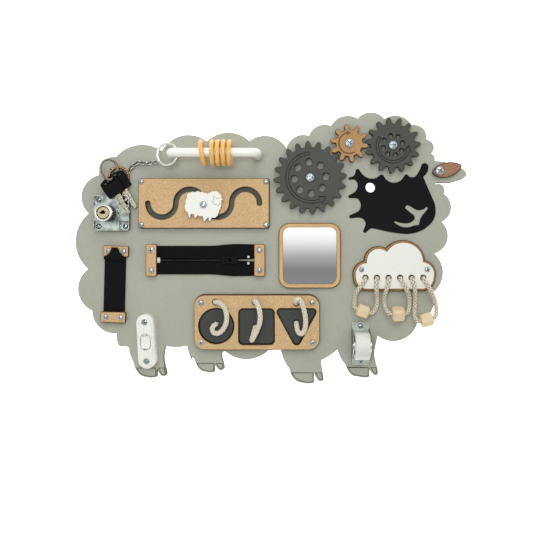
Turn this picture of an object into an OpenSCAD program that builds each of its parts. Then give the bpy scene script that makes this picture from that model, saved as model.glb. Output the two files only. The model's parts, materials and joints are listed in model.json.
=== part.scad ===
// Wooden busy board in the shape of a standing sheep, lying on its back.
// X runs from tail to head, Y from feet to back and Z out of the painted face.
// The origin is in the middle of the board's outline, on its flat back.

/* [Board] */
// Thickness of the painted board
board_t = 8; // [6:0.5:12]
// Diameter of the eye hole
eye_d = 11.5; // [8:0.5:14]
// Thickness of the black face panel
face_t = 0.8; // [0.5:0.1:1.5]
// Width of the burnt lines round the hooves
hoof_line_w = 0.8; // [0.6:0.1:1.2]

/* [Panels] */
// Thickness of the fibreboard front panels
panel_t = 4; // [3:0.5:5]
// Thickness of the dark layer under the maze and the shape panel
spacer_t = 4; // [3.5:0.5:5]
// Length of the maze panel
maze_l = 150; // [146:1:154]
// Width of the maze panel
maze_w = 57; // [54:1:60]
// Width of the maze slot
slot_w = 5.6; // [5:0.1:6.5]
// Length of the shape panel
shapes_l = 144; // [142:1:148]
// Width of the shape panel
shapes_w = 62.8; // [61:0.2:66]
// Thickness of the three lift-out shapes
shape_t = 6; // [5:0.5:7.5]
// Gap between a shape and its hole
shape_gap = 0.8; // [0.5:0.1:1.2]
// Width of the mirror frame
mirror_w = 71.6; // [68:0.4:76]
// Height of the mirror frame
mirror_h = 75.2; // [72:0.4:78]
// Width of the rim round the mirror
mirror_rim = 4.8; // [4:0.2:7]
// Thickness of the mirror sheet
mirror_t = 2; // [1.5:0.5:3]
// Thickness of the white cloud
cloud_t = 3.5; // [3:0.5:5]
// Width of the brown rim that shows round the cloud
cloud_rim = 3; // [2:0.5:4]
// Diameter of the cord holes
cord_hole_d = 7; // [6.6:0.2:7.6]

/* [Gears] */
// Tooth module: pitch diameter over the number of teeth
gear_module = 4; // [3.8:0.1:4.1]
// Thickness of the gears
gear_t = 6; // [4:0.5:8]
// Height of the washer under each gear
washer_t = 2; // [1:0.5:3]
// Diameter of the pivot bolts
pivot_d = 5; // [4:0.5:6]
// Diameter of the pivot bolt heads
pivot_head_d = 10; // [9:0.5:11]
// Width of a tooth at the pitch circle
tooth_w = 5.1; // [4.6:0.1:5.4]
// Diameter of the holes in the large gear
large_hole_d = 8.4; // [6:0.2:9]
// Diameter of the holes in the medium gear
medium_hole_d = 5.6; // [4:0.2:6.4]
// Running clearance of a pivot in its bore
running_gap = 0.08; // [0.05:0.01:0.1]

/* [Handle] */
// Distance between the two handle screws
handle_span = 96; // [92:1:100]
// Diameter of the handle bar
handle_d = 10; // [8:0.5:11]
// Height of the bar's axis above the board
handle_h = 33; // [31:1:36]
// Outer diameter of the wooden rings
ring_d = 30; // [28:0.5:32]
// Thickness of the wooden rings
ring_t = 5; // [4:0.2:5.4]

/* [Lock and keys] */
// Side of the square lock case
lock_w = 42; // [40:1:44]
// Height of the lock case
lock_h = 6.5; // [6:0.5:8]
// Diameter of the lock barrel
barrel_d = 19; // [18:0.5:21]
// Height of the barrel above the case
barrel_h = 21; // [16:1:24]
// Diameter of the turning plug
plug_d = 14; // [12:0.5:15]
// Travel of the lock bolt
bolt_travel = 8; // [6:0.5:9]
// Thickness of a key's plastic bow
bow_t = 3; // [2.4:0.2:3.2]
// Thickness of a key's metal blade
blade_t = 2; // [1.6:0.2:2.2]
// Wire of the two split rings
split_wire = 1.8; // [1.4:0.2:2]

/* [Strap and zip] */
// Width of the hook-and-loop strap
strap_w = 24.5; // [22:0.5:25]
// Thickness of each strap layer
strap_t = 1.5; // [1:0.1:1.8]
// Thickness of the clamping bars
clamp_t = 4; // [3:0.5:5]
// Width of the clamping bars
clamp_w = 12.4; // [11.5:0.1:13]
// Thickness of the zip tape
tape_t = 0.8; // [0.6:0.1:1.2]
// Width of the closed zip
zip_w = 33; // [30:1:36]

/* [Switch and wheel] */
// Length of the switch case
switch_l = 62; // [58:1:64]
// Width of the switch case
switch_w = 20; // [18:0.5:23]
// Height of the switch case
switch_h = 16; // [13:0.5:18]
// Diameter of the wheel
wheel_d = 31; // [27:1:32]
// Width of the wheel
wheel_w = 15; // [13:0.5:15.4]
// Thickness of the wheel bracket's sheet metal
bracket_t = 1.6; // [1.2:0.2:2]
// Diameter of the wheel's axle
axle_d = 4; // [3:0.5:5]

/* [Cords and screws] */
// Diameter of the cords on the cloud
loop_cord_d = 5.2; // [4.6:0.2:5.4]
// Diameter of the cords on the shapes
shape_cord_d = 6; // [5:0.2:6]
// Side of the wooden cube beads
bead_w = 14.5; // [13.5:0.5:15]
// Diameter of the panel screw heads
screw_head_d = 6; // [5:0.2:6.4]
// Diameter of the panel screw shanks
screw_d = 3; // [2.5:0.1:3.4]
// Depth the panel screws reach into the board
screw_bite = 6; // [5:0.1:6.4]

/* [Hidden] */

$fn = 48;
seat = 0.3;              // clearance under and between pieces that move apart
cut = 1;                 // how far a cutting solid runs past a face
z_panel = board_t + spacer_t;      // underside of the maze and shape panels
z_panel_top = z_panel + panel_t;
z_clamp_low = board_t + strap_t;
zip_tape_z = 1.6;        // the zip's tape lies over its slider's lower plate

// ---- Outlines: [x, y, bulge], each bulge being the rise of the arc to the next point ----
board_edge = [
    [131, 149.5, 7.2], [162.5, 142.5, 6.5], [179.5, 125.5, 5.8], [185, 109.5, 2],
    // ear cut in one with the board
    [189, 101, 0.3], [203, 99.3, 0.8], [221, 92, 0.8], [226.5, 85.5, 1.2], [218, 78.5, 0.9],
    [200, 75.5, 0], [192, 76, -0.8],
    // throat and chest
    [190, 73.5, 5.4], [199.5, 63, 10], [197, 30.5, 11.5], [188.5, -6.5, 10.5], [188, -51, 8],
    [169, -87.5, 12.8],
    // first leg
    [123, -101.5, 0], [119, -121, -0.6], [123, -139.5, 0], [123.5, -146, 1.5], [118, -146.5, 0.6],
    [113.5, -140, -0.3], [113.5, -149.5, 1], [100.5, -149, 1.6], [90, -144, 0.4], [85.5, -134.5, 0],
    [81.5, -130, 0.6], [77, -117, 1],
    // second leg
    [57.5, -130, -0.3], [59, -141.5, 0], [60.5, -153, 1.4], [54, -153.5, 0.6], [49.5, -144.5, -0.3],
    [49.5, -156, 1], [37.5, -156.5, 1.6], [25, -150.5, 0.5], [20.5, -139.5, 0.6], [14, -128.5, 1],
    [11, -112.5, 0],
    // belly
    [7.5, -108, 4], [-3.5, -118.5, 10],
    // third leg
    [-54, -119.5, -0.8], [-58, -124, -0.3], [-56.5, -131, 0], [-54.5, -139.5, 1.2],
    [-60.5, -141.5, 0.6], [-65.5, -134.5, -0.3], [-66, -143.5, 0.8], [-76, -143.5, 1.5],
    [-85.5, -138, 0.5], [-89.5, -128.5, 0.4], [-91, -126.5, -0.3], [-93, -129, 0.6],
    [-97.5, -114.5, -0.5], [-100, -113.5, 1.4],
    // fourth leg
    [-122.5, -113.5, -1.5], [-124.5, -134, 0], [-121.5, -147, 1.4], [-128, -148, 0.6],
    [-132.5, -140, -0.3], [-133, -149.5, 1], [-146, -149.5, 1.5], [-155.5, -143.5, 0.8],
    [-159.5, -134.5, 0], [-164, -123.5, 0.4], [-165, -115.5, 0.5], [-167.5, -114, 0],
    [-173.5, -114, 1.5], [-178.5, -109.5, 0.8],
    // tail end
    [-179.5, -99, 8.5], [-208, -72.5, 14], [-212.5, -24.5, 15], [-212, 40, 14], [-200, 84.5, 7.8],
    // back
    [-180.5, 105.5, 10.5], [-127, 112.5, 12.5], [-75, 123.5, 10], [-25.5, 124, 10],
    [17.5, 115.5, 6.8], [43.5, 130, 6.2], [69, 141.5, 7], [100, 150, 7.5]];

// Burnt hoof lines: each is a closed loop inside the edge of one toe
hoof_lines = [
    [[-156.4, -139.2], [-134.4, -139.2], [-134.4, -148.4], [-140, -149.1], [-145.8, -148.2],
     [-150.8, -146.2], [-154.5, -142.6]],
    [[-130.7, -139.2], [-124.7, -139.2], [-122.9, -146.3], [-127.2, -146.9]],
    [[-86.3, -133.8], [-67.2, -133.8], [-67.2, -142.5], [-71.5, -143.1], [-75.8, -142.4],
     [-80.5, -140.7], [-84.3, -137.4]],
    [[-63.9, -133.8], [-57.2, -133.8], [-55.9, -138.9], [-59.8, -140.2]],
    [[23.4, -144.9], [48.2, -144.9], [48.2, -155], [43.5, -155.9], [38, -155.2], [31.3, -153.4],
     [26.3, -149.7]],
    [[51.3, -144.9], [58.2, -144.9], [59.1, -152.2], [55.3, -152.5]],
    [[88.3, -138.8], [112.2, -138.8], [112.2, -148.3], [107, -149], [101, -147.8], [95.5, -146.6],
     [91.3, -143.2]],
    [[115.2, -138.8], [121.6, -138.8], [122.2, -145.3], [119.2, -145.6]]];

face_edge = [
    [97.4, 89.4, 1.9], [102.2, 89.9, -0.8], [109.7, 82.1, -2.6], [125.2, 83.9, 1.1], [130.2, 83.6, -0.4],
    [133.2, 79.1, -2.6], [148.7, 77.6, -0.6], [154.2, 84.2, 0.9], [157.7, 84.6, -1.9],
    [167, 83.1, -0.9], [174, 96.6, 3.5], [181.8, 92.9, 1.1], [177, 83.6, -0.5],
    [176.4, 80.9, 0], [186.5, 57.6, 1], [190.2, 42.4, 1.3], [185, 28.6, 0.9], [171.5, 19.2, 0.8],
    [155.6, 16.2, 0.4], [134.6, 19, 0], [116.2, 22.9, -0.4], [110.2, 18.7, 1.4], [106.2, 19.4, -0.1],
    [109.1, 27.4, -1.8], [102.6, 35.1, -0.3], [92, 34.4, 1.9], [91.8, 38.4, 0], [99.1, 41.6, -1.2],
    [103.4, 49.4, -1.6], [98.2, 57.8, 0], [91.2, 57.8, 1.8], [90.6, 61.4, -0.3], [97.1, 65.6, -0.8],
    [99.9, 72.9, -1.4], [95.1, 79.4, 0], [91.2, 79.1, 1.4], [90, 81.8, 0], [93.6, 82.6, -1.2]];
// Nose and mouth, cut out of the face so that the board shows
mouth_edge = [
    [155.2, 45.8, 1.9], [159.2, 48.9, 0.3], [165.2, 45.5, -1.3], [175.7, 44.7, -0.2],
    [179.5, 47.7, 0.9], [180.7, 45, 0], [176.2, 39.5, -0.3], [172.7, 34, -0.3],
    [170.9, 26.6, 0], [165.5, 26.2, -0.2], [161.6, 24.6, 0.8], [150.6, 24.8, 0.5],
    [142.2, 29.8, 0.6], [143.2, 31, -0.5], [155.1, 28.5, -1.3], [165.5, 33, -1.3],
    [163.5, 39, 0]];

// Sheep figure of the maze, round its bolt
sheep_edge = [
    [-18.5, 8.5, 1.8], [-15, 13.5, 1.2], [-9.5, 14, 1.2], [-3.5, 14.5, 0.8], [0.5, 13.5, 0.8],
    [4.5, 12, 0.8], [7.5, 13.5, 1], [12.5, 15.2, 1.4], [18.5, 12.5, 1.2], [20.5, 8, 0],
    [23, 5.8, 0.5], [20, 5, 0.6], [20.5, 1, 0.7], [19.5, -3, 0.7], [18, -6.5, 0.7],
    [16.5, -10.5, 0.8], [15, -13.5, 1.2], [10, -14.2, 0], [8, -18.5, 0.6], [6.8, -18.5, 0],
    [5.5, -14.2, 0], [2, -18.5, 0.6], [0.8, -18.5, 0], [-0.8, -12.8, 1], [-6.5, -12, 0],
    [-8.5, -15, 0.5], [-9.6, -15, 0], [-11, -10.8, 0], [-14, -10.5, 0], [-15.2, -14.5, 0.5],
    [-16.4, -14.3, 0], [-18, -8.5, 0.8], [-20.8, -5, 1], [-20.2, 1, 1]];
// Line of its face, cut into it
sheep_face = [[20.4, 8.3], [18.8, 7], [17.2, 7.8], [15.4, 7], [13.7, 7.8], [12.8, 9.5], [11, 9],
    [12.1, 6.8], [11, 5.4], [11.4, 3.7], [9.9, 2.8], [11.4, 1.4], [12.5, 0.1], [14.6, 0.3],
    [16.5, -0.7], [18.3, -0.2], [19.7, 1.4], [18, 2.5]];
ear_edge = [[-7.9, 0.8, 1.9], [4.3, 6.7, 2.4], [25, 0.8, 0.6], [26.3, -2, 0.5], [23.5, -4.9, 2.3],
    [3.8, -9.3, 0.8], [-5.6, -4.4, 0.7]];

// ---- Layout: where each piece of the set sits on the board ----
eye_at = [114.8, 70.2];
small_gear_at = [89.5, 120.5];
large_gear_side = 221.3;      // direction from the small gear to the large one
medium_gear_side = -2.9;
large_teeth = 20;
small_teeth = 10;
medium_teeth = 15;
large_gear_at = small_gear_at
    + gear_module * (large_teeth + small_teeth) / 2 * [cos(large_gear_side), sin(large_gear_side)];
medium_gear_at = small_gear_at
    + gear_module * (medium_teeth + small_teeth) / 2 * [cos(medium_gear_side), sin(medium_gear_side)];
ear_at = [193.7, 89];
ear_turn = 17;
maze_at = [-77.6, 51.5];
slider_angle = 187;           // where the slider rests on the third bend
shapes_at = [-16.7, -85.4];
layer_slip = 0.6;            // the dark layer sits this much higher than the shape panel
mirror_at = [44.2, -8.8];
handle_at = [-63.7, 106.4];
lock_at = [-184.2, 40.3];
barrel_at = lock_at + [-3.5, -0.5];
strap_at = [-181.2, -41.6];   // middle of the strap
strap_top_y = 38;             // the top clamp, along the strap from its middle
strap_low_y = -38;            // the bottom clamp
strap_lean = -1.4;
zip_y = -14;
zip_left_x = -138.3;          // middle of the left clamp
zip_right_x = -13.6;
zip_clamp_l = 37;
switch_at = [-142.8, -106.6];
switch_lean = 3.2;
wheel_at = [103.2, -110.6];
cloud_base_y = -46.8;

// Cloud lobes: [x, y, radius]
cloud_lobes = [[123.6, -14.8, 13.9], [151.8, -16.2, 22.4], [110, -30.6, 13.3], [173.3, -30, 13.6]];
cloud_hole_x = [for (i = [0:5]) 108 + i * 13.28];
cloud_hole_y = -34.2;
cloud_screw_at = [[103.6, -24.5], [179.2, -24.5]];

// ---- Cords: points chosen along each route ----
z_cloud_top = board_t + panel_t + cloud_t;
z_bead = board_t + bead_w / 2 + 2 * seat;
z_mouth = z_cloud_top + 0.1;
cloud_routes = [
    [[108, -34.2, z_mouth], [107, -36.6, 18.8], [103.6, -41.6, 19], [99.2, -47.6, 18.4],
     [96.6, -54.2, 14], [96, -59.6, 11.6], [95.8, -64.6, 12.6], [96.6, -69.2, z_bead],
     [113.2, -74.8, z_bead], [118, -73.2, 13], [120.8, -69, 11.6], [121.9, -63.4, 11.4],
     [121.8, -57, 13], [120.6, -49.6, 18], [119.8, -42, 19], [120.6, -36.8, 18.8],
     [121.3, -34.2, z_mouth]],
    [[134.6, -34.2, z_mouth], [134.2, -36.8, 18.8], [133, -42.6, 19], [131.2, -49.6, 18.2],
     [130.2, -56.4, 13.4], [130.3, -62.6, 11.4], [131, -68.2, 12], [133, -72.6, 14.2],
     [136.6, -75.2, z_bead + 1.4], [154, -75, z_bead + 1.4], [157.4, -72.6, 14.6],
     [159, -68.2, 12], [159.3, -62, 11.4], [158.4, -55.4, 14], [155.6, -48.6, 18.4],
     [151.2, -41.6, 19], [148.6, -36.8, 18.8], [147.8, -34.2, z_mouth]],
    [[161.1, -34.2, z_mouth], [161.6, -36.6, 19], [163.4, -43, 19], [164.8, -49.8, 18.2],
     [165.5, -56.6, 13.4], [165.6, -64, 11.4], [165.1, -71, 11.6], [164.8, -76.8, 12.6],
     [166, -81.6, 14.4], [169.6, -84.4, z_bead + 1.4], [186.4, -80.2, z_bead + 1.4],
     [189.4, -76.4, 14.8], [190.2, -70.8, 13], [189.4, -64.4, 12], [187, -57.4, 14],
     [183.4, -50.4, 18],
     [179.4, -43.4, 19], [175.2, -36.6, 19], [174.4, -34.2, z_mouth]]];
z_panel_mouth = z_panel_top + 0.1;
z_piece_mouth = board_t + seat + shape_t + 0.1;
disc_route = [[-64.2, -61.9, z_panel_mouth], [-63.4, -61.6, 19.4], [-58.6, -62.4, 20.8],
    [-53.6, -67.6, 20.4], [-51, -75.6, 20], [-51.2, -84.4, 19.8], [-54.8, -92.6, 19.2],
    [-61, -97.6, 18.8], [-66.6, -96, 18.4], [-67.4, -91, 18.2], [-64.6, -88, 17.6],
    [-63.3, -87.4, z_piece_mouth]];
square_route = [[-18.6, -61.8, z_panel_mouth], [-18.9, -60.6, 19.6], [-17.8, -59.8, 23.2],
    [-15.2, -64.2, 26], [-13, -71, 27.2], [-12.2, -79, 27], [-13.8, -87.6, 26.2],
    [-17.4, -96, 25.4], [-20.6, -102.4, 24.8], [-22.4, -104.8, 21.2], [-20.8, -100.2, 18.2],
    [-18.9, -93.2, 17.9], [-18.3, -90.6, z_piece_mouth]];
triangle_route = [[28.8, -63, z_panel_mouth], [27.6, -61.8, 19.6], [28.4, -58.8, 23],
    [31.6, -57.8, 24.6], [35, -62.4, 24.2], [37.2, -70, 22.8], [39, -79.4, 21.6],
    [39, -89, 20.2], [37, -96, 18.8], [33.2, -98.2, 18], [30.2, -94.8, 17.8],
    [29, -88.4, 17.9], [28.7, -86, z_piece_mouth]];

// ---- Functions ----
function unit(v) = v / norm(v);

// Points from a towards b on an arc that rises by sag to the left of the way
function arc_points(a, b, sag) =
    let (c = norm(b - a))
    abs(sag) < 0.01 ? [a] :
    let (r = (c * c / 4 + sag * sag) / (2 * sag),
         left = [a.y - b.y, b.x - a.x] / c,
         centre = (a + b) / 2 + left * (sag - r),
         start = atan2(a.y - centre.y, a.x - centre.x),
         half = atan2(c / 2, abs(r) - abs(sag)),
         steps = max(2, ceil(half / 6)))
    [for (i = [0:steps - 1])
        centre + abs(r) * [cos(start - sign(sag) * 2 * half * i / steps),
                           sin(start - sign(sag) * 2 * half * i / steps)]];

// Closed outline through the points of a list of [x, y, bulge]
function outline(edge) =
    [for (i = [0:len(edge) - 1])
        let (a = edge[i], b = edge[(i + 1) % len(edge)])
        each arc_points([a.x, a.y], [b.x, b.y], a[2])];

// Closed outline moved out by d, with sharp corners kept
function grown(p, d) =
    [for (i = [0:len(p) - 1])
        let (n = len(p),
             before = unit(p[i] - p[(i + n - 1) % n]),
             after = unit(p[(i + 1) % n] - p[i]),
             bisector = unit([-(before + after).y, (before + after).x]),
             spread = max(0.35, bisector * [-after.y, after.x]))
        p[i] + bisector * d / spread];

function involute(a) = tan(a) * 180 / PI - a;

// Half of a tooth's angle at radius r
function tooth_half(r, pitch_r, base_r) =
    tooth_w / pitch_r * 90 / PI + involute(acos(base_r / pitch_r))
    - involute(acos(base_r / max(r, base_r)));

// Toothed outline with rounded tips and filleted roots
pressure_angle = 25;
addendum = 2.3;
dedendum = 4.8;
function gear_points(teeth, phase) =
    let (pitch_r = gear_module * teeth / 2,
         base_r = pitch_r * cos(pressure_angle),
         root_r = pitch_r - dedendum,
         tip_r = pitch_r + addendum,
         foot = tooth_half(root_r, pitch_r, base_r),
         flank = [[root_r, foot + 60 / root_r], [root_r + 0.4, foot + 20 / root_r],
                  [root_r + 1.2, foot],
                  [(root_r + tip_r) / 2, tooth_half((root_r + tip_r) / 2, pitch_r, base_r)],
                  [pitch_r, tooth_half(pitch_r, pitch_r, base_r)],
                  [tip_r - 1.1, 0.9 * tooth_half(tip_r - 1.1, pitch_r, base_r)],
                  [tip_r - 0.25, 0.5 * tooth_half(tip_r, pitch_r, base_r)]])
    [for (k = [0:teeth - 1])
        let (middle = phase + 360 * k / teeth)
        each concat(
            [for (f = flank) f[0] * [cos(middle - f[1]), sin(middle - f[1])]],
            [tip_r * [cos(middle), sin(middle)]],
            [for (i = [len(flank) - 1:-1:0])
                flank[i][0] * [cos(middle + flank[i][1]), sin(middle + flank[i][1])]])];

// Curved arrow outline: a band of width w on radius r from angle a to b, with a head at b
function arrow_points(r, w, a, b, head_w, head_l) =
    let (turn = sign(b - a), lead = turn * head_l / r * 180 / PI, steps = 28,
         body_end = b - lead)
    concat(
        [for (i = [0:steps]) let (t = a + (body_end - a) * i / steps)
            (r + w / 2) * [cos(t), sin(t)]],
        [(r + head_w / 2) * [cos(body_end), sin(body_end)]],
        [r * [cos(b), sin(b)]],
        [(r - head_w / 2) * [cos(body_end), sin(body_end)]],
        [for (i = [steps:-1:0]) let (t = a + (body_end - a) * i / steps)
            (r - w / 2) * [cos(t), sin(t)]]);

// Rings of a cord swept along points p
function cord_ring(p, i, r, sides) =
    let (t = unit(p[min(i + 1, len(p) - 1)] - p[max(i - 1, 0)]),
         u = unit(cross(t, [0, 0, 1])),
         v = cross(t, u))
    [for (k = [0:sides - 1]) p[i] + r * (cos(360 * k / sides) * u + sin(360 * k / sides) * v)];

// ---- Shared shapes ----
module cord(p, d, sides = 8) {
    n = len(p);
    polyhedron(
        points = [for (i = [0:n - 1]) each cord_ring(p, i, d / 2, sides)],
        faces = concat(
            [[for (k = [0:sides - 1]) k]],
            [for (i = [0:n - 2], k = [0:sides - 1])
                [i * sides + k, (i + 1) * sides + k,
                 (i + 1) * sides + (k + 1) % sides, i * sides + (k + 1) % sides]],
            [[for (k = [sides - 1:-1:0]) (n - 1) * sides + k]]));
}

module rounded_rect(l, w, r) {
    square([l - 2 * r, w], center = true);
    square([l, w - 2 * r], center = true);
    for (x = [-1, 1], y = [-1, 1])
        translate([x * (l / 2 - r), y * (w / 2 - r)]) circle(r);
}

module slab(l, w, r, t) {
    linear_extrude(t) rounded_rect(l, w, r);
}

// Round bar bent in a half circle or a part of one, in the XY plane
module bent_bar(bend_r, bar_d, angle) {
    rotate_extrude(angle = angle) translate([bend_r, 0]) circle(d = bar_d);
}

// Flat line of width w through points p
module line_along(p, w) {
    for (i = [0:len(p) - 2]) {
        translate(p[i]) circle(d = w, $fn = 12);
        translate(p[i]) rotate(atan2(p[i + 1].y - p[i].y, p[i + 1].x - p[i].x))
            translate([0, -w / 2]) square([norm(p[i + 1] - p[i]), w]);
    }
    translate(p[len(p) - 1]) circle(d = w, $fn = 12);
}

module wire_ring(outer_d, wire_d) {
    rotate_extrude() translate([(outer_d - wire_d) / 2, 0]) circle(d = wire_d, $fn = 24);
}

// Pan head screw with its head's underside at z = 0 and its shank below
module pan_screw(head_d, head_h, shank_d, shank_l, drive_d) {
    difference() {
        union() {
            cylinder(d = head_d, h = head_h * 0.45);
            translate([0, 0, head_h * 0.45])
                cylinder(d1 = head_d, d2 = head_d * 0.62, h = head_h * 0.55);
            translate([0, 0, -shank_l]) cylinder(d = shank_d, h = shank_l + 0.01);
        }
        for (a = [0, 90])
            rotate(a) translate([-drive_d / 2, -drive_d / 8, head_h * 0.4])
                cube([drive_d, drive_d / 4, head_h]);
    }
}

module lie_on_board(h = 0) {
    translate([0, 0, board_t + h]) children();
}

// ---- Board ----
pivot_at = [large_gear_at, small_gear_at, medium_gear_at, ear_at];
nut_flange_t = 1.2;
nut_flange_d = 15;
nut_barrel_d = 7;
handle_screw_d = 4;
handle_feet = [handle_at - [handle_span / 2, 0], handle_at + [handle_span / 2, 0]];
handle_head_d = 8;
handle_head_t = 2.4;

// Panel screws: [x, y, z of the head's underside]
maze_screw_in = 6;            // screw centre from the maze panel's short edge
shapes_screw_in = [8, 8.5];
lock_screw_in = 5.6;
bracket_l = 50;
bracket_w = 21;
lock_pad_t = 2;
strap_screw_x = 8.6;
clamp_slip = 1;              // the top clamp sits this far to the strap's right
zip_screw_y = 11.6;
switch_screw_y = 22.2;
switch_screw_sink = 4;
panel_screw_at = concat(
    [for (x = [-1, 1], y = [-1, 1])
        [maze_at.x + x * (maze_l / 2 - maze_screw_in + 2.6),
         maze_at.y + y * (maze_w / 2 - maze_screw_in + 2.4), z_panel_top]],
    [for (x = [-1, 1], y = [-1, 1])
        [shapes_at.x + x * (shapes_l / 2 - shapes_screw_in.x),
         shapes_at.y + y * (shapes_w / 2 - shapes_screw_in.y), z_panel_top]],
    [for (x = [-1, 1], y = [-1, 1])
        [lock_at.x + x * (lock_w / 2 - lock_screw_in), lock_at.y + y * (lock_w / 2 - lock_screw_in),
         board_t + lock_pad_t]],
    [for (x = [-1, 1]) on_strap(clamp_slip + x * (strap_screw_x + 0.4), strap_top_y,
        z_clamp_low + clamp_t)],
    [for (x = [-1, 1]) on_strap(x * strap_screw_x, strap_low_y, z_clamp_low + strap_t + clamp_t)],
    [for (x = [zip_left_x, zip_right_x], y = [-1, 1])
        [x, zip_y + y * zip_screw_y, board_t + zip_tape_z + tape_t + clamp_t]],
    [for (p = cloud_screw_at) [p.x, p.y, z_cloud_top]],
    [for (y = [-1, 1])
        [wheel_at.x, wheel_at.y + y * (bracket_l / 2 - 4.6), board_t + bracket_t]],
    [for (y = [-1, 1])
        [switch_at.x - y * switch_screw_y * sin(switch_lean),
         switch_at.y + y * switch_screw_y * cos(switch_lean),
         board_t + switch_h - switch_screw_sink]]);
pilot_gap = 0.05;

// A place given across and along the strap
function on_strap(x, y, z) = [
    strap_at.x + x * cos(strap_lean) - y * sin(strap_lean),
    strap_at.y + x * sin(strap_lean) + y * cos(strap_lean), z];

module pilot_holes() {
    for (p = panel_screw_at)
        translate([p.x, p.y, p.z - screw_reach(p.z) - 0.5])
            cylinder(d = screw_d + 2 * pilot_gap, h = board_t + 20);
}

// Length of a screw whose head sits at height z
function screw_reach(z) = z - board_t + screw_bite;

module base_board() {
    color("#adafa1")
    difference() {
        linear_extrude(board_t) polygon(outline(board_edge));
        translate([eye_at.x, eye_at.y, -cut]) cylinder(d = eye_d, h = board_t + 2 * cut);
        for (p = pivot_at) translate([p.x, p.y, -cut]) {
            cylinder(d = nut_barrel_d + 2 * pilot_gap, h = board_t + 2 * cut);
            cylinder(d = nut_flange_d + 2 * pilot_gap, h = cut + nut_flange_t);
        }
        for (p = handle_feet) translate([p.x, p.y, -cut]) {
            cylinder(d = handle_screw_d + 2 * pilot_gap, h = board_t + 2 * cut);
            cylinder(d = handle_head_d + 2 * pilot_gap, h = cut + handle_head_t);
        }
        pilot_holes();
        for (h = hoof_lines) translate([0, 0, board_t - 0.3]) linear_extrude(1) difference() {
            polygon(grown(h, hoof_line_w / 2));
            polygon(grown(h, -hoof_line_w / 2));
        }
    }
}

module face_panel() {
    color("#1d1d1d")
    lie_on_board() difference() {
        linear_extrude(face_t) polygon(outline(face_edge));
        translate([0, 0, -cut]) linear_extrude(face_t + 2 * cut) polygon(outline(mouth_edge));
        translate([eye_at.x, eye_at.y, -cut]) cylinder(d = eye_d, h = face_t + 2 * cut);
    }
}

// ---- Gears ----
z_gear = board_t + washer_t;
groove_w = 0.7;
groove_depth = 0.4;

module gear(at, teeth, phase) {
    translate([at.x, at.y, z_gear]) difference() {
        linear_extrude(gear_t) polygon(gear_points(teeth, phase));
        translate([0, 0, -cut]) cylinder(d = pivot_d + 2 * running_gap, h = gear_t + 2 * cut);
        children();
    }
}

module gear_holes(count, circle_r, hole_d, start) {
    for (i = [0:count - 1])
        rotate(start + 360 * i / count) translate([circle_r, 0, -cut])
            cylinder(d = hole_d, h = gear_t + 2 * cut);
}

module arrow_groove(r, w, a, b, head_w, head_l) {
    translate([0, 0, gear_t - groove_depth]) linear_extrude(groove_depth + cut) difference() {
        polygon(arrow_points(r, w + groove_w, a, b + sign(b - a) * groove_w / r * 80,
            head_w + 2.4 * groove_w, head_l + 1.6 * groove_w));
        polygon(arrow_points(r, w - groove_w, a + sign(b - a) * groove_w / r * 60,
            b - sign(b - a) * groove_w / r * 80, head_w - 2.4 * groove_w,
            head_l - 1.6 * groove_w));
    }
}

module large_gear() {
    color("#4e504b") gear(large_gear_at, large_teeth, 93.7) {
        gear_holes(8, 18.2, large_hole_d, 94.5);
        translate([1.6, 0, 0]) arrow_groove(28, 3.2, 95, 307.5, 9, 7.5);
    }
}

module small_gear() {
    color("#b08b5b") gear(small_gear_at, small_teeth, small_phase) {
        arrow_groove(12, 1.6, -61, -280, 5.5, 5);
    }
}

module medium_gear() {
    color("#4e504b") gear(medium_gear_at, medium_teeth, 3) {
        gear_holes(8, 11.4, medium_hole_d, 104);
        translate([0.3, -0.8, 0]) arrow_groove(18.1, 2.8, 145, 361, 8, 6.5);
    }
}

// A tooth of the large gear faces a gap of the small one along the line of centres
small_phase = large_gear_side + 180 / small_teeth
    + (large_gear_side + 180 - 93.7) * large_teeth / small_teeth;

z_ear = board_t + seat;
ear_t = 4;
pivot_tops = [z_gear + gear_t, z_gear + gear_t, z_gear + gear_t, z_ear + ear_t];

module pivot_bolts() {
    color("#c9ced0")
    for (i = [0:3]) translate([pivot_at[i].x, pivot_at[i].y, pivot_tops[i] + running_gap])
        pan_screw(pivot_head_d, 3, pivot_d, pivot_tops[i] - 1.5, 4.4);
}

module pivot_washers() {
    color("#9a9d9c")
    for (i = [0:2]) translate([pivot_at[i].x, pivot_at[i].y, board_t]) difference() {
        cylinder(d = 14, h = washer_t - 0.05);
        translate([0, 0, -cut]) cylinder(d = pivot_d + 2 * running_gap, h = washer_t + 2 * cut);
    }
}

module pivot_nuts() {
    color("#9a9d9c")
    for (p = pivot_at) translate([p.x, p.y, 0]) difference() {
        union() {
            cylinder(d = nut_flange_d, h = nut_flange_t);
            cylinder(d = nut_barrel_d, h = board_t - 0.5);
        }
        translate([0, 0, -cut]) cylinder(d = pivot_d + 2 * pilot_gap, h = board_t + 2 * cut);
    }
}

module ear_flap() {
    color("#9a775a")
    translate([ear_at.x, ear_at.y, z_ear]) rotate(ear_turn) difference() {
        linear_extrude(ear_t) polygon(outline(ear_edge));
        translate([0, 0, -cut]) cylinder(d = pivot_d + 2 * running_gap, h = ear_t + 2 * cut);
    }
}

// ---- Maze ----
bend_r = 16;
bend_x = [for (i = [-1.5, -0.5, 0.5, 1.5]) maze_at.x + i * 2 * bend_r];
slider_at = [bend_x[2] + bend_r * cos(slider_angle), maze_at.y + bend_r * sin(slider_angle)];
glide_d = 10;
slider_bolt_d = 4;
sheep_t = 4;
spacer_rim = 5.4;

module maze_slot() {
    for (i = [0:3])
        translate([bend_x[i], maze_at.y]) rotate(i % 2 == 0 ? 180 : 0)
            rotate_extrude_flat(bend_r, slot_w);
    for (x = [bend_x[0] - bend_r, bend_x[3] + bend_r])
        translate([x, maze_at.y]) circle(d = slot_w);
}

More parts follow.
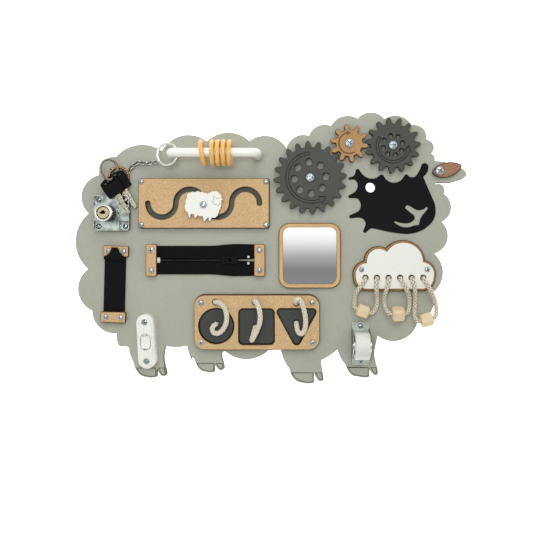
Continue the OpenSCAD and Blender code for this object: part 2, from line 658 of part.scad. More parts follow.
// Half of a flat ring, above the X axis
module rotate_extrude_flat(r, w) {
    intersection() {
        difference() {
            circle(r + w / 2);
            circle(r - w / 2);
        }
        translate([-r - w, 0]) square([2 * (r + w), r + w]);
    }
}

module maze_panel() {
    color("#ceae80")
    translate([0, 0, z_panel]) difference() {
        translate([maze_at.x, maze_at.y]) slab(maze_l, maze_w, 3, panel_t);
        translate([0, 0, -cut]) linear_extrude(panel_t + 2 * cut) maze_slot();
        panel_screw_bores();
    }
}

module panel_screw_bores() {
    for (p = panel_screw_at) translate([p.x, p.y, -50])
        cylinder(d = screw_d + 2 * pilot_gap, h = 100);
}

module panel_spacers() {
    color("#3c3a34")
    lie_on_board() difference() {
        union() {
            translate([maze_at.x, maze_at.y]) difference() {
                slab(maze_l + 1, maze_w + 1, 3, spacer_t);
                translate([0, 0, -cut])
                    slab(maze_l - 2 * spacer_rim, maze_w - 2 * spacer_rim, 3, spacer_t + 2 * cut);
            }
            translate([shapes_at.x, shapes_at.y + layer_slip])
                slab(shapes_l + 0.6, shapes_w + 0.6, shapes_corner_r, spacer_t);
        }
        translate([0, 0, -cut]) linear_extrude(spacer_t + 2 * cut) shape_holes(shape_gap);
        translate([0, 0, -cut]) linear_extrude(spacer_t + 2 * cut) shape_cord_holes();
        panel_screw_bores();
    }
}

module sheep_slider() {
    color("#f2f3eb")
    translate([slider_at.x, slider_at.y, z_panel_top + seat]) difference() {
        linear_extrude(sheep_t) polygon(outline(sheep_edge));
        translate([0, 0, -cut])
            cylinder(d = slider_bolt_d + 2 * running_gap, h = sheep_t + 2 * cut);
        translate([0, 0, sheep_t - 0.4]) linear_extrude(1) line_along(sheep_face, 0.8);
    }
}

module slider_bolt() {
    color("#c9ced0")
    translate([slider_at.x, slider_at.y, z_panel_top + seat + sheep_t + running_gap])
        pan_screw(7.6, 2.4, slider_bolt_d, panel_t + sheep_t + 3, 3.4);
}

module slider_glide() {
    color("#1d1d1d")
    translate([slider_at.x, slider_at.y, board_t + seat]) difference() {
        cylinder(d = glide_d, h = spacer_t - 2 * seat);
        translate([0, 0, -cut])
            cylinder(d = slider_bolt_d + 2 * pilot_gap, h = spacer_t + 2 * cut);
    }
}

// ---- Handle with its rings ----
handle_bend_r = 7;
z_bar = board_t + handle_h;

module handle() {
    color("#f3f4eb")
    difference() {
        union() {
            for (p = handle_feet) translate([p.x, p.y, board_t])
                cylinder(d = handle_d, h = handle_h - handle_bend_r);
            translate([handle_feet[0].x + handle_bend_r, handle_at.y, z_bar])
                rotate([0, 90, 0]) cylinder(d = handle_d, h = handle_span - 2 * handle_bend_r);
            translate([handle_feet[0].x + handle_bend_r, handle_at.y, z_bar - handle_bend_r])
                rotate([90, 0, 0]) rotate([0, 0, 90]) bent_bar(handle_bend_r, handle_d, 90);
            translate([handle_feet[1].x - handle_bend_r, handle_at.y, z_bar - handle_bend_r])
                rotate([90, 0, 0]) bent_bar(handle_bend_r, handle_d, 90);
        }
        for (p = handle_feet) translate([p.x, p.y, board_t - cut])
            cylinder(d = handle_screw_d + 2 * pilot_gap, h = 15 + cut);
    }
}

module handle_screws() {
    color("#9a9d9c")
    for (p = handle_feet) translate([p.x, p.y, 0]) {
        cylinder(d = handle_head_d, h = handle_head_t - 0.1);
        cylinder(d = handle_screw_d, h = board_t + 14);
    }
}

ring_x = [-76.1, -64.9, -58.8, -52.4, -46.1];
ring_lean = [9, 1.5, 1, 0.5, 0];

module wooden_ring(i) {
    z_ring = z_bar - (ring_d / 2 - ring_t - handle_d / 2) + 0.35;
    color("#f6dba0")
    translate([ring_x[i], handle_at.y, z_ring])
        rotate(ring_lean[i]) rotate([0, 90, 0]) wire_ring(ring_d, ring_t);
}

// ---- Split rings, chain and keys ----
split_ring_d = 26;
handle_ring_at = [handle_feet[0].x - 5.6, handle_at.y - 0.4, board_t + handle_h - 13];
handle_ring_lean = 14;

module handle_ring() {
    color("#c8c8c4")
    translate(handle_ring_at) rotate([0, -handle_ring_lean, 0]) wire_ring(split_ring_d, split_wire);
}

// Curb chain from the handle ring to the ribbed ring
chain_wire = 1.1;
chain_link_w = 4.2;
chain_route = [[-129.4, 97.6, 22.8], [-133.4, 98, 20.6], [-137.6, 97.4, 18.8],
    [-142, 96.8, 17.2], [-146.2, 97.4, 15.5], [-150.4, 98.4, 13.9], [-154.6, 98, 12.6],
    [-158.5, 96.2, 11.8], [-161.8, 93.4, 11.3], [-164, 90.2, 10.9]];
ribbed_ring_at = [-176.6, 82];
ribbed_ring_d = 25;
ribbed_wire = 2.2;

jump_ring_d = 6.4;
jump_ring_at = handle_ring_at + [-10, -7.5, -2.8];

module chain_link(outer_l) {
    bend = (chain_link_w - chain_wire) / 2;
    straight = outer_l - chain_link_w;
    for (s = [0, 1]) rotate([0, 0, 180 * s]) {
        translate([straight / 2, 0, 0]) rotate([0, 0, -90])
            rotate_extrude(angle = 180) translate([bend, 0]) circle(d = chain_wire, $fn = 16);
        translate([-straight / 2, bend, 0]) rotate([0, 90, 0])
            cylinder(d = chain_wire, h = straight, $fn = 16);
    }
}

module key_chain() {
    color("#b9b9b2") {
        for (i = [0:len(chain_route) - 2])
            let (a = chain_route[i], b = chain_route[i + 1], m = (a + b) / 2)
            translate(m) rotate(atan2(b.y - a.y, b.x - a.x))
                rotate([0, -asin((b.z - a.z) / norm(b - a)), 0])
                    rotate([i % 2 == 0 ? 42 : -42, 0, 0])
                        chain_link(norm(b - a) + 2 * chain_wire + 0.3);
        // jump rings round the two larger rings
        translate(jump_ring_at) rotate([0, 0, -140]) rotate([62, 0, 0])
            wire_ring(jump_ring_d, chain_wire);
        translate([-165.8, 88.9, 10.95]) rotate([0, 0, 48]) rotate([50, 0, 0])
            wire_ring(jump_ring_d, chain_wire);
        translate([-184.3, 90.3, 10.95]) rotate([0, 0, -47]) rotate([50, 0, 0])
            wire_ring(jump_ring_d, chain_wire);
    }
    color("#c08a58")
    translate([ribbed_ring_at.x, ribbed_ring_at.y, board_t + ribbed_wire / 2 + 0.2])
        wire_ring(ribbed_ring_d, ribbed_wire);
}

key_ring_d = 25;
key_ring_lean = 48;
module key_ring() {
    color("#8f8672")
    translate([-185.6, 89.7, 20.3]) rotate([0, key_ring_lean, 0])
        wire_ring(key_ring_d, split_wire);
}

// Two keys lie one on the other, up against the lock case
bow_edge = [[-10, -10.4, 3], [-10, 10.4, 0.6], [7, 10.4, 0.8], [9.5, 8, 0.3], [9.5, -8, 0.8],
    [7, -10.4, 0.6]];
blade_edge = [[8.5, 3.5], [15, 3.5], [16.5, 2.6], [20, 3], [21.5, 1.8], [24.5, 2.6], [26.5, 1.4],
    [29.5, 2.2], [31, 1.2], [34, 1.4], [34.5, -1], [32.5, -2.8], [15, -3.4], [8.5, -3.5]];
module key(s) {
    mirror([0, s, 0]) difference() {
        union() {
            linear_extrude(bow_t) polygon(outline(bow_edge));
            translate([0, 0, (bow_t - blade_t) / 2]) linear_extrude(blade_t) polygon(blade_edge);
        }
        translate([-8, -4.8, -cut]) cylinder(d = 1.8, h = bow_t + 2 * cut, $fn = 24);
        translate([-8.6, 3, -cut]) slab(4.6, 9, 2.2, bow_t + 2 * cut);
        translate([12, -0.6, bow_t / 2]) cube([12, 1.2, 5]);
    }
}

module key_1() {
    color("#1d1d1d")
    translate([-181.3, 69.1, 16.4]) rotate(-57) rotate([0, 2, 0]) key(0);
}

module key_2() {
    color("#242424")
    translate([-174.4, 75.5, 12.7]) rotate(-59) rotate([0, 4.4, 0]) key(1);
}

// ---- Lock ----
lock_wall = 1.4;
lock_bolt_w = 10;
lock_bolt_l = 24;
lock_bolt_h = 3.4;

module lock_case() {
    pad = 2 * lock_screw_in;
    color("#c4cbca")
    translate([lock_at.x, lock_at.y, board_t]) difference() {
        union() {
            slab(lock_w, lock_w, 4, lock_pad_t);
            linear_extrude(lock_h) difference() {
                rounded_rect(lock_w - 0.6, lock_w - 0.6, 4);
                for (x = [-1, 1], y = [-1, 1])
                    translate([x * (lock_w / 2 - pad / 2), y * (lock_w / 2 - pad / 2)])
                        square(pad + 0.6, center = true);
            }
        }
        translate([-lock_w / 2 - cut, -lock_bolt_w / 2 - 0.3, lock_wall])
            cube([lock_bolt_l + 6 + cut, lock_bolt_w + 0.6, lock_bolt_h + 0.6]);
        translate([barrel_at.x - lock_at.x, barrel_at.y - lock_at.y, lock_wall + 1])
            cylinder(d = plug_d + 2 * running_gap, h = lock_h);
        translate([-lock_at.x, -lock_at.y, 0]) panel_screw_bores();
    }
}

module lock_barrel() {
    color("#d5dad8")
    translate([barrel_at.x, barrel_at.y, board_t + lock_h]) difference() {
        union() {
            cylinder(d = barrel_d - 1, h = barrel_h - 2);
            for (i = [0:4]) translate([0, 0, 1 + i * 3]) cylinder(d = barrel_d - 0.3, h = 1.6);
            translate([0, 0, barrel_h - 4]) cylinder(d = barrel_d, h = 4);
        }
        translate([0, 0, -cut]) cylinder(d = plug_d + 2 * running_gap, h = barrel_h + 2 * cut);
    }
}

module lock_plug() {
    z_low = board_t + lock_wall + lock_bolt_h + 0.6;
    color("#d8c9a0")
    translate([barrel_at.x, barrel_at.y, z_low]) difference() {
        cylinder(d = plug_d, h = board_t + lock_h + barrel_h - z_low - 0.6);
        translate([-4.3, -1, lock_h + barrel_h - z_low + board_t - 9]) cube([8.6, 2, 10]);
    }
}

module lock_bolt() {
    color("#c9ced0")
    translate([lock_at.x - lock_w / 2 + 0.2, lock_at.y - lock_bolt_w / 2,
        board_t + lock_wall + seat])
        cube([lock_bolt_l, lock_bolt_w, lock_bolt_h]);
}

// ---- Strap ----
strap_low_end = strap_low_y - clamp_w / 2 - 1;
strap_top_end = strap_top_y + clamp_w / 2 - 1;
flap_start = strap_low_y + clamp_w / 2 + 2.5;

module along_strap() {
    translate([strap_at.x, strap_at.y, 0]) rotate(strap_lean) children();
}

module strap_base() {
    color("#1b1b1b")
    difference() {
        along_strap() lie_on_board() {
            translate([-strap_w / 2, strap_low_end])
                cube([strap_w, strap_top_end - strap_low_end, strap_t - 0.05]);
            translate([-strap_w / 2, strap_low_end, strap_t])
                cube([strap_w, flap_start - 0.4 - strap_low_end, strap_t]);
            translate([-strap_w / 2, strap_low_end, strap_t - 0.5])
                cube([strap_w, 2, 1]);
        }
        panel_screw_bores();
    }
}

// Loose upper layer: flat on the strap below, then up and over the top clamp
module strap_flap() {
    low = board_t + strap_t + seat;
    high = z_clamp_low + clamp_t + seat;
    shoulder = strap_top_y - clamp_w / 2;
    knee = shoulder - 2.2;
    tip = strap_top_y + 4.4;
    color("#1b1b1b")
    along_strap() intersection() {
        translate([-strap_w / 2, 0, 0]) rotate([90, 0, 90]) linear_extrude(strap_w)
            polygon([[flap_start, low], [knee - 4.6, low], [knee - 0.8, high],
                [tip, high], [tip, high + strap_t], [knee - 1.8, high + strap_t],
                [knee - 5.4, low + strap_t], [flap_start, low + strap_t]]);
        linear_extrude(60)
            polygon([[-strap_w / 2, flap_start], [-strap_w / 2, shoulder - 0.4],
                [-11.6, shoulder + 0.2], [-5, shoulder + 4.2], [-3.6, tip], [3.6, tip],
                [6.4, shoulder + 4.6], [strap_w / 2, shoulder - 0.4], [strap_w / 2, flap_start]]);
    }
}

module clamp_bars() {
    color("#ceae80")
    difference() {
        union() {
            along_strap() {
                translate([clamp_slip, strap_top_y, z_clamp_low]) slab(29.4, clamp_w, 1.6, clamp_t);
                translate([0, strap_low_y, z_clamp_low + strap_t]) slab(29, clamp_w, 1.6, clamp_t);
            }
            for (x = [zip_left_x, zip_right_x])
                translate([x, zip_y, board_t + zip_tape_z + tape_t])
                    slab(clamp_w, zip_clamp_l, 2, clamp_t);
        }
        panel_screw_bores();
    }
}

// ---- Zip ----
zip_slit = 1.4;
zip_bulge = 2.2;              // the tapes bow out this much where the zip is open
coil_w = 2.2;
coil_h = 1.2;
slider_x = -52.6;
zip_x0 = zip_left_x + clamp_w / 2 - 4;
zip_x1 = zip_right_x + clamp_w / 2 - 1.5;
zip_open_x = slider_x + 6;

// One side of the zip, from its inner edge outwards
function tape_points(inner, outer) = [
    [zip_left_x - clamp_w / 2 + 1, inner], [zip_open_x, inner],
    [zip_right_x - clamp_w / 2 - 9, inner + 0.2], [zip_right_x - clamp_w / 2 - 2, inner + 0.7],
    [zip_x1, inner + 0.4], [zip_x1, outer + zip_bulge * 0.6],
    [zip_right_x - clamp_w / 2 - 8, outer + zip_bulge * 0.9], [zip_open_x + 3, outer + zip_bulge],
    [zip_open_x - 6, outer + zip_bulge * 0.7], [zip_open_x - 16, outer + zip_bulge * 0.2],
    [zip_open_x - 26, outer], [zip_left_x - clamp_w / 2 + 1, outer]];

module zip_tapes() {
    color("#1b1b1b")
    for (s = [0, 1]) translate([0, zip_y, board_t + zip_tape_z]) difference() {
        mirror([0, s, 0]) linear_extrude(tape_t)
            polygon(tape_points(zip_slit / 2, zip_w / 2));
        translate([0, -zip_y, 0]) panel_screw_bores();
    }
    // packing under both clamps, joined by a thin strip under the teeth
    color("#1b1b1b")
    lie_on_board() difference() {
        union() {
            for (x = [zip_left_x, zip_right_x])
                translate([x - clamp_w / 2 + 1, zip_y - zip_w / 2, 0])
                    cube([clamp_w - 2, zip_w, zip_tape_z]);
            translate([zip_left_x, zip_y - 3, 0])
                cube([zip_open_x + 12 - zip_left_x, 6, 0.3]);
        }
        panel_screw_bores();
    }
}

module zip_teeth() {
    z = board_t + zip_tape_z + tape_t;
    left = zip_left_x + clamp_w / 2 + 4;
    right = zip_right_x - clamp_w / 2 - 8.5;
    color("#161616")
    for (s = [0, 1]) translate([0, zip_y, z]) mirror([0, s, 0])
        linear_extrude(coil_h) polygon([[left, zip_slit / 2], [zip_open_x, zip_slit / 2],
            [right, zip_slit / 2 + 1.6], [right, zip_slit / 2 + 1.6 + coil_w],
            [zip_open_x, zip_slit / 2 + coil_w], [left, zip_slit / 2 + coil_w]]);
    color("#d8d6c8") {
        translate([left - 4, zip_y - 3, z]) cube([3.8, 6, 1.6]);
        for (s = [-1, 1])
            translate([right + 0.4, zip_y + s * 3.7 - 1.3, z]) cube([2.6, 2.6, 1.5]);
    }
}

module zip_slider() {
    z = board_t + 0.3 + seat;
    top = board_t + zip_tape_z + tape_t + coil_h + seat;
    color("#202020")
    translate([slider_x, zip_y, 0]) {
        translate([0, 0, z]) slab(10.5, 9, 2, zip_tape_z - 0.3 - 2 * seat);
        translate([0, 0, top]) slab(10.5, 9.6, 2.4, 1.2);
        translate([0, 0, z]) linear_extrude(top - z + 0.5) square([5, zip_slit - 2 * seat], center = true);
        // loop that carries the pull
        for (x = [-2.6, 2.6]) translate([x - 0.6, -1, top + 1.1]) cube([1.2, 2, 2.8]);
        translate([-3.2, -1, top + 3.7]) cube([6.4, 2, 0.9]);
    }
}

z_pull_pin = board_t + zip_tape_z + tape_t + coil_h + seat + 2.45;
pull_l = 15;
module zip_pull() {
    color("#202020")
    translate([slider_x, zip_y, z_pull_pin]) {
        translate([-0.6, -4, -0.6]) cube([1.2, 8, 1.2]);
        for (y = [-4, 2.2]) translate([-0.6, y, -0.6]) cube([7.6, 1.8, 1.2]);
        translate([6, -4, -0.6]) slab_from_corner(pull_l - 7, 8, 1.2);
    }
}

module slab_from_corner(l, w, t) {
    translate([l / 2, w / 2, 0]) slab(l, w, 1.6, t);
}

// ---- Mirror ----
module mirror_frame() {
    color("#ceae80")
    translate([mirror_at.x, mirror_at.y, board_t]) difference() {
        slab(mirror_w, mirror_h, 12.5, panel_t);
        translate([0, 0, panel_t - mirror_t])
            slab(mirror_w - 2 * mirror_rim, mirror_h - 2 * mirror_rim, 7.7, mirror_t + cut);
    }
}

module mirror_sheet() {
    color("#b9bfc2")
    translate([mirror_at.x, mirror_at.y, board_t + panel_t - mirror_t])
        slab(mirror_w - 2 * mirror_rim - 0.4, mirror_h - 2 * mirror_rim - 0.4, 7.5, mirror_t);
}

// ---- Cloud ----
module cloud_shape(grow) {
    for (l = cloud_lobes) translate([l.x, l.y]) circle(l[2] + grow, $fn = 72);
    x0 = cloud_lobes[2].x;
    x1 = cloud_lobes[3].x;
    translate([x0, cloud_base_y - grow]) square([x1 - x0, 26 + grow]);
    for (x = [x0, x1]) translate([x, cloud_base_y + 13]) circle(13 + grow, $fn = 72);
}

module cloud_layer(grow, z, t, shade) {
    color(shade)
    translate([0, 0, z]) difference() {
        linear_extrude(t) cloud_shape(grow);
        for (x = cloud_hole_x) translate([x, cloud_hole_y, -cut])
            cylinder(d = cord_hole_d, h = t + 2 * cut);
        panel_screw_bores();
    }
}

module cloud_back() {
    cloud_layer(cloud_rim, board_t, panel_t, "#8a6238");
}

module cloud_front() {
    cloud_layer(0, board_t + panel_t, cloud_t, "#eceee4");
}

bead_hole_d = loop_cord_d + 0.8;
bead_turn = [-19, 1, 14];    // turn of each bead about Z, along its cord
bead_roll = [4, 28, -24];    // and about the cord
bead_start = [7, 8, 9];      // route point where each bead begins
module cloud_bead(i) {
    route = cloud_routes[i];
    middle = (route[bead_start[i]] + route[bead_start[i] + 1]) / 2;
    edge_r = 3.2;
    color("#ead7ac")
    translate(middle) rotate(bead_turn[i]) rotate([bead_roll[i], 0, 0]) difference() {
        intersection() {
            translate([0, 0, -bead_w / 2]) slab(bead_w, bead_w, edge_r, bead_w);
            rotate([90, 0, 0]) translate([0, 0, -bead_w / 2]) slab(bead_w, bead_w, edge_r, bead_w);
            rotate([0, 90, 0]) translate([0, 0, -bead_w / 2]) slab(bead_w, bead_w, edge_r, bead_w);
        }
        rotate([0, 90, 0]) translate([0, 0, -bead_w]) cylinder(d = bead_hole_d, h = 2 * bead_w);
    }
}

// ---- Shape panel ----
shapes_corner_r = 12.5;
disc_at = [-63.2, -89.5];
disc_r = 19.7;
square_at = [-17, -90.2];
square_w = 40;
square_r = 4.5;
// Corners of the triangle's rounded outline: [x, y, bulge]
triangle_edge = [[11.5, -70, 0], [46.5, -70, 2.2], [50.2, -75.5, 0], [32.5, -108.5, 2],
    [25.5, -108.5, 0], [7.8, -75.5, 2.2]];
shape_cord_at = [for (r = [disc_route, square_route, triangle_route]) [r[0].x, r[0].y]];
piece_cord_at = [for (r = [disc_route, square_route, triangle_route])
    [r[len(r) - 1].x, r[len(r) - 1].y]];

// The three shapes, each grown by d
module shape_holes(d) {
    translate([disc_at.x, disc_at.y]) circle(disc_r + d, $fn = 72);
    translate([square_at.x, square_at.y])
        rounded_rect(square_w + 2 * d, square_w + 2 * d, square_r + d);
    polygon(grown(outline(triangle_edge), d));
}

module shape_cord_holes() {
    for (p = shape_cord_at) translate([p.x, p.y]) circle(d = cord_hole_d);
}

module shape_panel() {
    color("#ceae80")
    translate([0, 0, z_panel]) difference() {
        translate([shapes_at.x, shapes_at.y]) slab(shapes_l, shapes_w, shapes_corner_r, panel_t);
        translate([0, 0, -cut]) linear_extrude(panel_t + 2 * cut) {
            shape_holes(shape_gap);
            shape_cord_holes();
        }
        panel_screw_bores();
    }
}

module lift_out(i) {
    color("#484a48")
    translate([0, 0, board_t + seat]) difference() {
        linear_extrude(shape_t) children();
        translate([piece_cord_at[i].x, piece_cord_at[i].y, -cut])
            cylinder(d = cord_hole_d, h = shape_t + 2 * cut);
    }
}

module shape_disc() {
    lift_out(0) translate([disc_at.x, disc_at.y]) circle(disc_r, $fn = 72);
}

module shape_square() {
    lift_out(1) translate([square_at.x, square_at.y]) rounded_rect(square_w, square_w, square_r);
}

module shape_triangle() {
    lift_out(2) polygon(outline(triangle_edge));
}

// ---- Switch ----
rocker_l = 17.5;
rocker_w = 10.8;

module switch_case() {
    wall = 2;
    color("#f2f3eb")
    difference() {
        translate([switch_at.x, switch_at.y, board_t]) rotate(switch_lean) difference() {
            intersection() {
                slab(switch_w, switch_l, switch_w / 2 - 0.1, switch_h);
                union() {
                    slab(switch_w, switch_l, switch_w / 2 - 0.1, switch_h - 3);
                    translate([0, 0, switch_h - 3.01])
                        slab(switch_w - 1.6, switch_l - 1.6, switch_w / 2 - 1, 1.6);
                    translate([0, 0, switch_h - 1.5])
                        slab(switch_w - 5, switch_l - 5, switch_w / 2 - 2.6, 1.5);
                }
            }
            translate([0, 0, -cut])
                slab(rocker_w + 2, rocker_l + 6, rocker_w / 2, switch_h - wall + cut);
            translate([0, 0, switch_h / 2])
                slab(rocker_w + 0.8, rocker_l + 0.8, rocker_w / 2 + 0.3, switch_h);
        }
        for (p = panel_screw_at) if (p.z == board_t + switch_h - switch_screw_sink)
            translate([p.x, p.y, p.z]) cylinder(d = screw_head_d + 1, h = switch_h);
        panel_screw_bores();
    }
}

module switch_rocker() {
    color("#e9eae2")
    translate([switch_at.x, switch_at.y, board_t + switch_h]) rotate(switch_lean)
        intersection() {
            translate([0, 0, -6]) slab(rocker_w, rocker_l, rocker_w / 2 - 0.05, 12);
            rotate([0, 90, 0]) translate([0, 0, -rocker_w]) linear_extrude(2 * rocker_w)
                polygon([[5, -8.6], [-0.6, -10.4], [-1.5, -8], [0.2, 0], [-0.8, 8], [0, 10.4],
                    [5, 8.6]]);
        }
}

// ---- Wheel ----
z_axle = board_t + bracket_t + 1.6 + wheel_d / 2;
flange_in = bracket_w / 2 - bracket_t;

module wheel_bracket() {
    color("#b4bcbc")
    difference() {
        union() {
            translate([wheel_at.x, wheel_at.y, board_t])
                slab(bracket_w, bracket_l, 2, bracket_t);
            for (s = [0, 1])
                translate([wheel_at.x, wheel_at.y, board_t]) mirror([s, 0, 0])
                    translate([flange_in, 0, 0]) rotate([90, 0, 90]) linear_extrude(bracket_t)
                        polygon(concat([[-17, 0.4], [-17, 3.2]],
                            [for (a = [150:-15:30]) [6 * cos(a), z_axle - board_t + 6 * sin(a) - 2]],
                            [[17, 3.2], [17, 0.4]]));
        }
        translate([wheel_at.x - bracket_w, wheel_at.y, z_axle]) rotate([0, 90, 0])
            cylinder(d = axle_d + 2 * pilot_gap, h = 2 * bracket_w);
        panel_screw_bores();
    }
}

module caster_wheel() {
    shoulder = 2;
    color("#e5e8e0")
    translate([wheel_at.x, wheel_at.y, z_axle]) rotate([0, 90, 0]) difference() {
        rotate_extrude($fn = 72) polygon([[0, -wheel_w / 2], [wheel_d / 2 - shoulder, -wheel_w / 2],
            [wheel_d / 2 - 0.5, -wheel_w / 2 + 1], [wheel_d / 2, -wheel_w / 2 + 2.5],
            [wheel_d / 2, wheel_w / 2 - 2.5], [wheel_d / 2 - 0.5, wheel_w / 2 - 1],
            [wheel_d / 2 - shoulder, wheel_w / 2], [0, wheel_w / 2]]);
        translate([0, 0, -wheel_w]) cylinder(d = axle_d + 2 * running_gap, h = 2 * wheel_w);
    }
}

module wheel_axle() {
    head_t = 1.4;
    color("#9a9d9c")
    translate([wheel_at.x, wheel_at.y, z_axle]) rotate([0, 90, 0]) {
        translate([0, 0, -bracket_w / 2 - 0.1]) cylinder(d = axle_d, h = bracket_w + 0.2);
        for (s = [-1, 1]) translate([0, 0, s * (bracket_w / 2 + 0.1 + head_t / 2)])
            cylinder(d = axle_d + 3, h = head_t, center = true);
    }
}

module panel_screws() {
    color("#c9ced0")
    for (p = panel_screw_at) translate(p)
        pan_screw(screw_head_d, 2.2, screw_d, screw_reach(p.z), 2.8);
}

// ---- Show ----
base_board();
face_panel();
large_gear();
small_gear();
medium_gear();
pivot_bolts();
pivot_washers();
pivot_nuts();
ear_flap();
maze_panel();
panel_spacers();
sheep_slider();
slider_bolt();
slider_glide();
handle();
handle_screws();
for (i = [0:4]) wooden_ring(i);
handle_ring();
key_chain();
key_ring();
key_1();
key_2();
lock_case();
lock_barrel();
lock_plug();
lock_bolt();
strap_base();
strap_flap();
clamp_bars();
zip_tapes();
zip_teeth();
zip_slider();
zip_pull();
mirror_frame();
mirror_sheet();
cloud_back();
cloud_front();
for (i = [0:2]) color("#e1d7c3") cord(cloud_routes[i], loop_cord_d);
for (i = [0:2]) cloud_bead(i);
shape_panel();
shape_disc();
shape_square();
shape_triangle();
color("#e1d7c3") cord(disc_route, shape_cord_d);  // disc_cord
color("#e1d7c3") cord(square_route, shape_cord_d);  // square_cord
color("#e1d7c3") cord(triangle_route, shape_cord_d);  // triangle_cord
switch_case();
switch_rocker();
wheel_bracket();
caster_wheel();
wheel_axle();
panel_screws();
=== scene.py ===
"""Wooden busy board shaped like a sheep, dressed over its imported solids.

Lengths are metres. The board lies on its back: +Z comes out of its face, +X runs to the sheep's
head and +Y to its back. Surfaces are worked out as numpy arrays from the formula each docstring
gives. Flat pieces are plates cut along outlines, and the small hardware is copied from its solids
with the outer edges rounded.
"""
import json
import math

import bmesh
import bpy
import numpy as np
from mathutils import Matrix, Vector
from mathutils.geometry import delaunay_2d_cdt


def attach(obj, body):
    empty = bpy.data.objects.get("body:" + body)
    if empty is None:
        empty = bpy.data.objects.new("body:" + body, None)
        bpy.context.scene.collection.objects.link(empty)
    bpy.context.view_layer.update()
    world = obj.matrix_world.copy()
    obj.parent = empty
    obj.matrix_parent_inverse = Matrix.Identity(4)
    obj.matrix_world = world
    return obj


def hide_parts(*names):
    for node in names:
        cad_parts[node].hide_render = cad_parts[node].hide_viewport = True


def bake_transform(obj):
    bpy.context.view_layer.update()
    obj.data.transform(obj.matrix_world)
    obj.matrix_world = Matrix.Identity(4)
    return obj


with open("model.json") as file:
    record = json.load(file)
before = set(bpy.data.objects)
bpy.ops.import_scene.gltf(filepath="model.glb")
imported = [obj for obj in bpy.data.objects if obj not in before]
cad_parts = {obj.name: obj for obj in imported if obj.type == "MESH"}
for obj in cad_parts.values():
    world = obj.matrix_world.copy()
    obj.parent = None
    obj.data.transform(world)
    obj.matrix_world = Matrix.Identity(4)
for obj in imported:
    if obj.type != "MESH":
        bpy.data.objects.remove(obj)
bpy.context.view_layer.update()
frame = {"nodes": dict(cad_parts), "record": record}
body_of_node = {node: body for body, nodes in frame["record"]["behaviour"]["bodies"].items()
                for node in nodes}
slot_of_node = {part["node"]: part["material_slot"] for part in frame["record"]["subparts"]}
MM = 0.001
FACE, UNDER, TOP = 8, 12, 16    # heights in mm: the board's face, the panels' undersides and faces
GAP = 0.3                       # mm between a piece that moves and what lies under it
SHARP = 46                      # degrees: an edge that turns more than this is shaded sharp
UP = (0, 0, 1)


# ---- Surfaces ----
def unit(v):
    """Vectors along the last axis, brought to length 1."""
    v = np.asarray(v, float)
    return v / np.linalg.norm(v, axis=-1, keepdims=True)


def travelled(path):
    """Distance run at each point of a path."""
    return np.concatenate([[0], np.cumsum(np.linalg.norm(np.diff(path, axis=0), axis=1))])


def round_angles(n):
    """n angles that go right round."""
    return np.linspace(0, 2 * np.pi, n, endpoint=False)


def rotation(axis, degrees):
    """Matrix of a turn about x, y or z; its columns are where the three axes go."""
    i, j = {"x": (1, 2), "y": (2, 0), "z": (0, 1)}[axis]
    c, s = math.cos(math.radians(degrees)), math.sin(math.radians(degrees))
    turn = np.eye(3)
    turn[[i, j], [i, j]], turn[i, j], turn[j, i] = c, -s, s
    return turn


def placed(name, mesh):
    """Object of a mesh, put in the scene."""
    piece = bpy.data.objects.new(name, mesh)
    bpy.context.scene.collection.objects.link(piece)
    return piece


def solid(name, verts, faces, sharp=None, smooth=None):
    """Mesh object, smooth except across edges over sharp degrees and on faces not in smooth."""
    mesh = bpy.data.meshes.new(name)
    mesh.from_pydata(np.asarray(verts).tolist(), [], faces)
    mesh.validate()
    mesh.shade_smooth()
    if sharp is not None:
        mesh.set_sharp_from_angle(angle=math.radians(sharp))
    if smooth is not None:
        mesh.polygons.foreach_set("use_smooth", smooth)
    return placed(name, mesh)


def mark(piece, name, values):
    """Attribute on the piece's points: one number or one vector for each."""
    kind, key = ("FLOAT", "value") if np.ndim(values) == 1 else ("FLOAT_VECTOR", "vector")
    attribute = piece.data.attributes.new(name, kind, "POINT")
    attribute.data.foreach_set(key, np.asarray(values, np.float32).ravel())


def skin(name, points, round_i=False, capped=False, sharp=None):
    """Mesh object through points[i, j]; i runs along the piece and j round it.

    round_i joins the last row to the first, and capped closes both ends with fans to the rows'
    centres. The faces are turned outwards by the sign of the enclosed volume.
    """
    rows, cols = points.shape[:2]
    i = np.arange(rows if round_i else rows - 1)[:, None]
    j = np.arange(cols)
    k = (j + 1) % cols
    a, b = i * cols, (i + 1) % rows * cols
    quads = np.stack([a + j, b + j, b + k, a + k], -1).reshape(-1, 4)
    verts, faces = points.reshape(-1, 3), quads.tolist()
    tris = np.concatenate([quads[:, :3], quads[:, [0, 2, 3]]])
    if capped:
        verts = np.concatenate([verts, points[:1].mean(1), points[-1:].mean(1)])
        low = np.stack([j, k, np.full(cols, len(verts) - 2)], -1)
        high = np.stack([k, j, np.full(cols, len(verts) - 1)], -1)
        high[:, :2] += (rows - 1) * cols
        faces += low.tolist() + high.tolist()
        tris = np.concatenate([tris, low, high])
    if np.linalg.det(verts[tris]).sum() < 0:
        faces = [face[::-1] for face in faces]
    return solid(name, verts, faces, sharp)


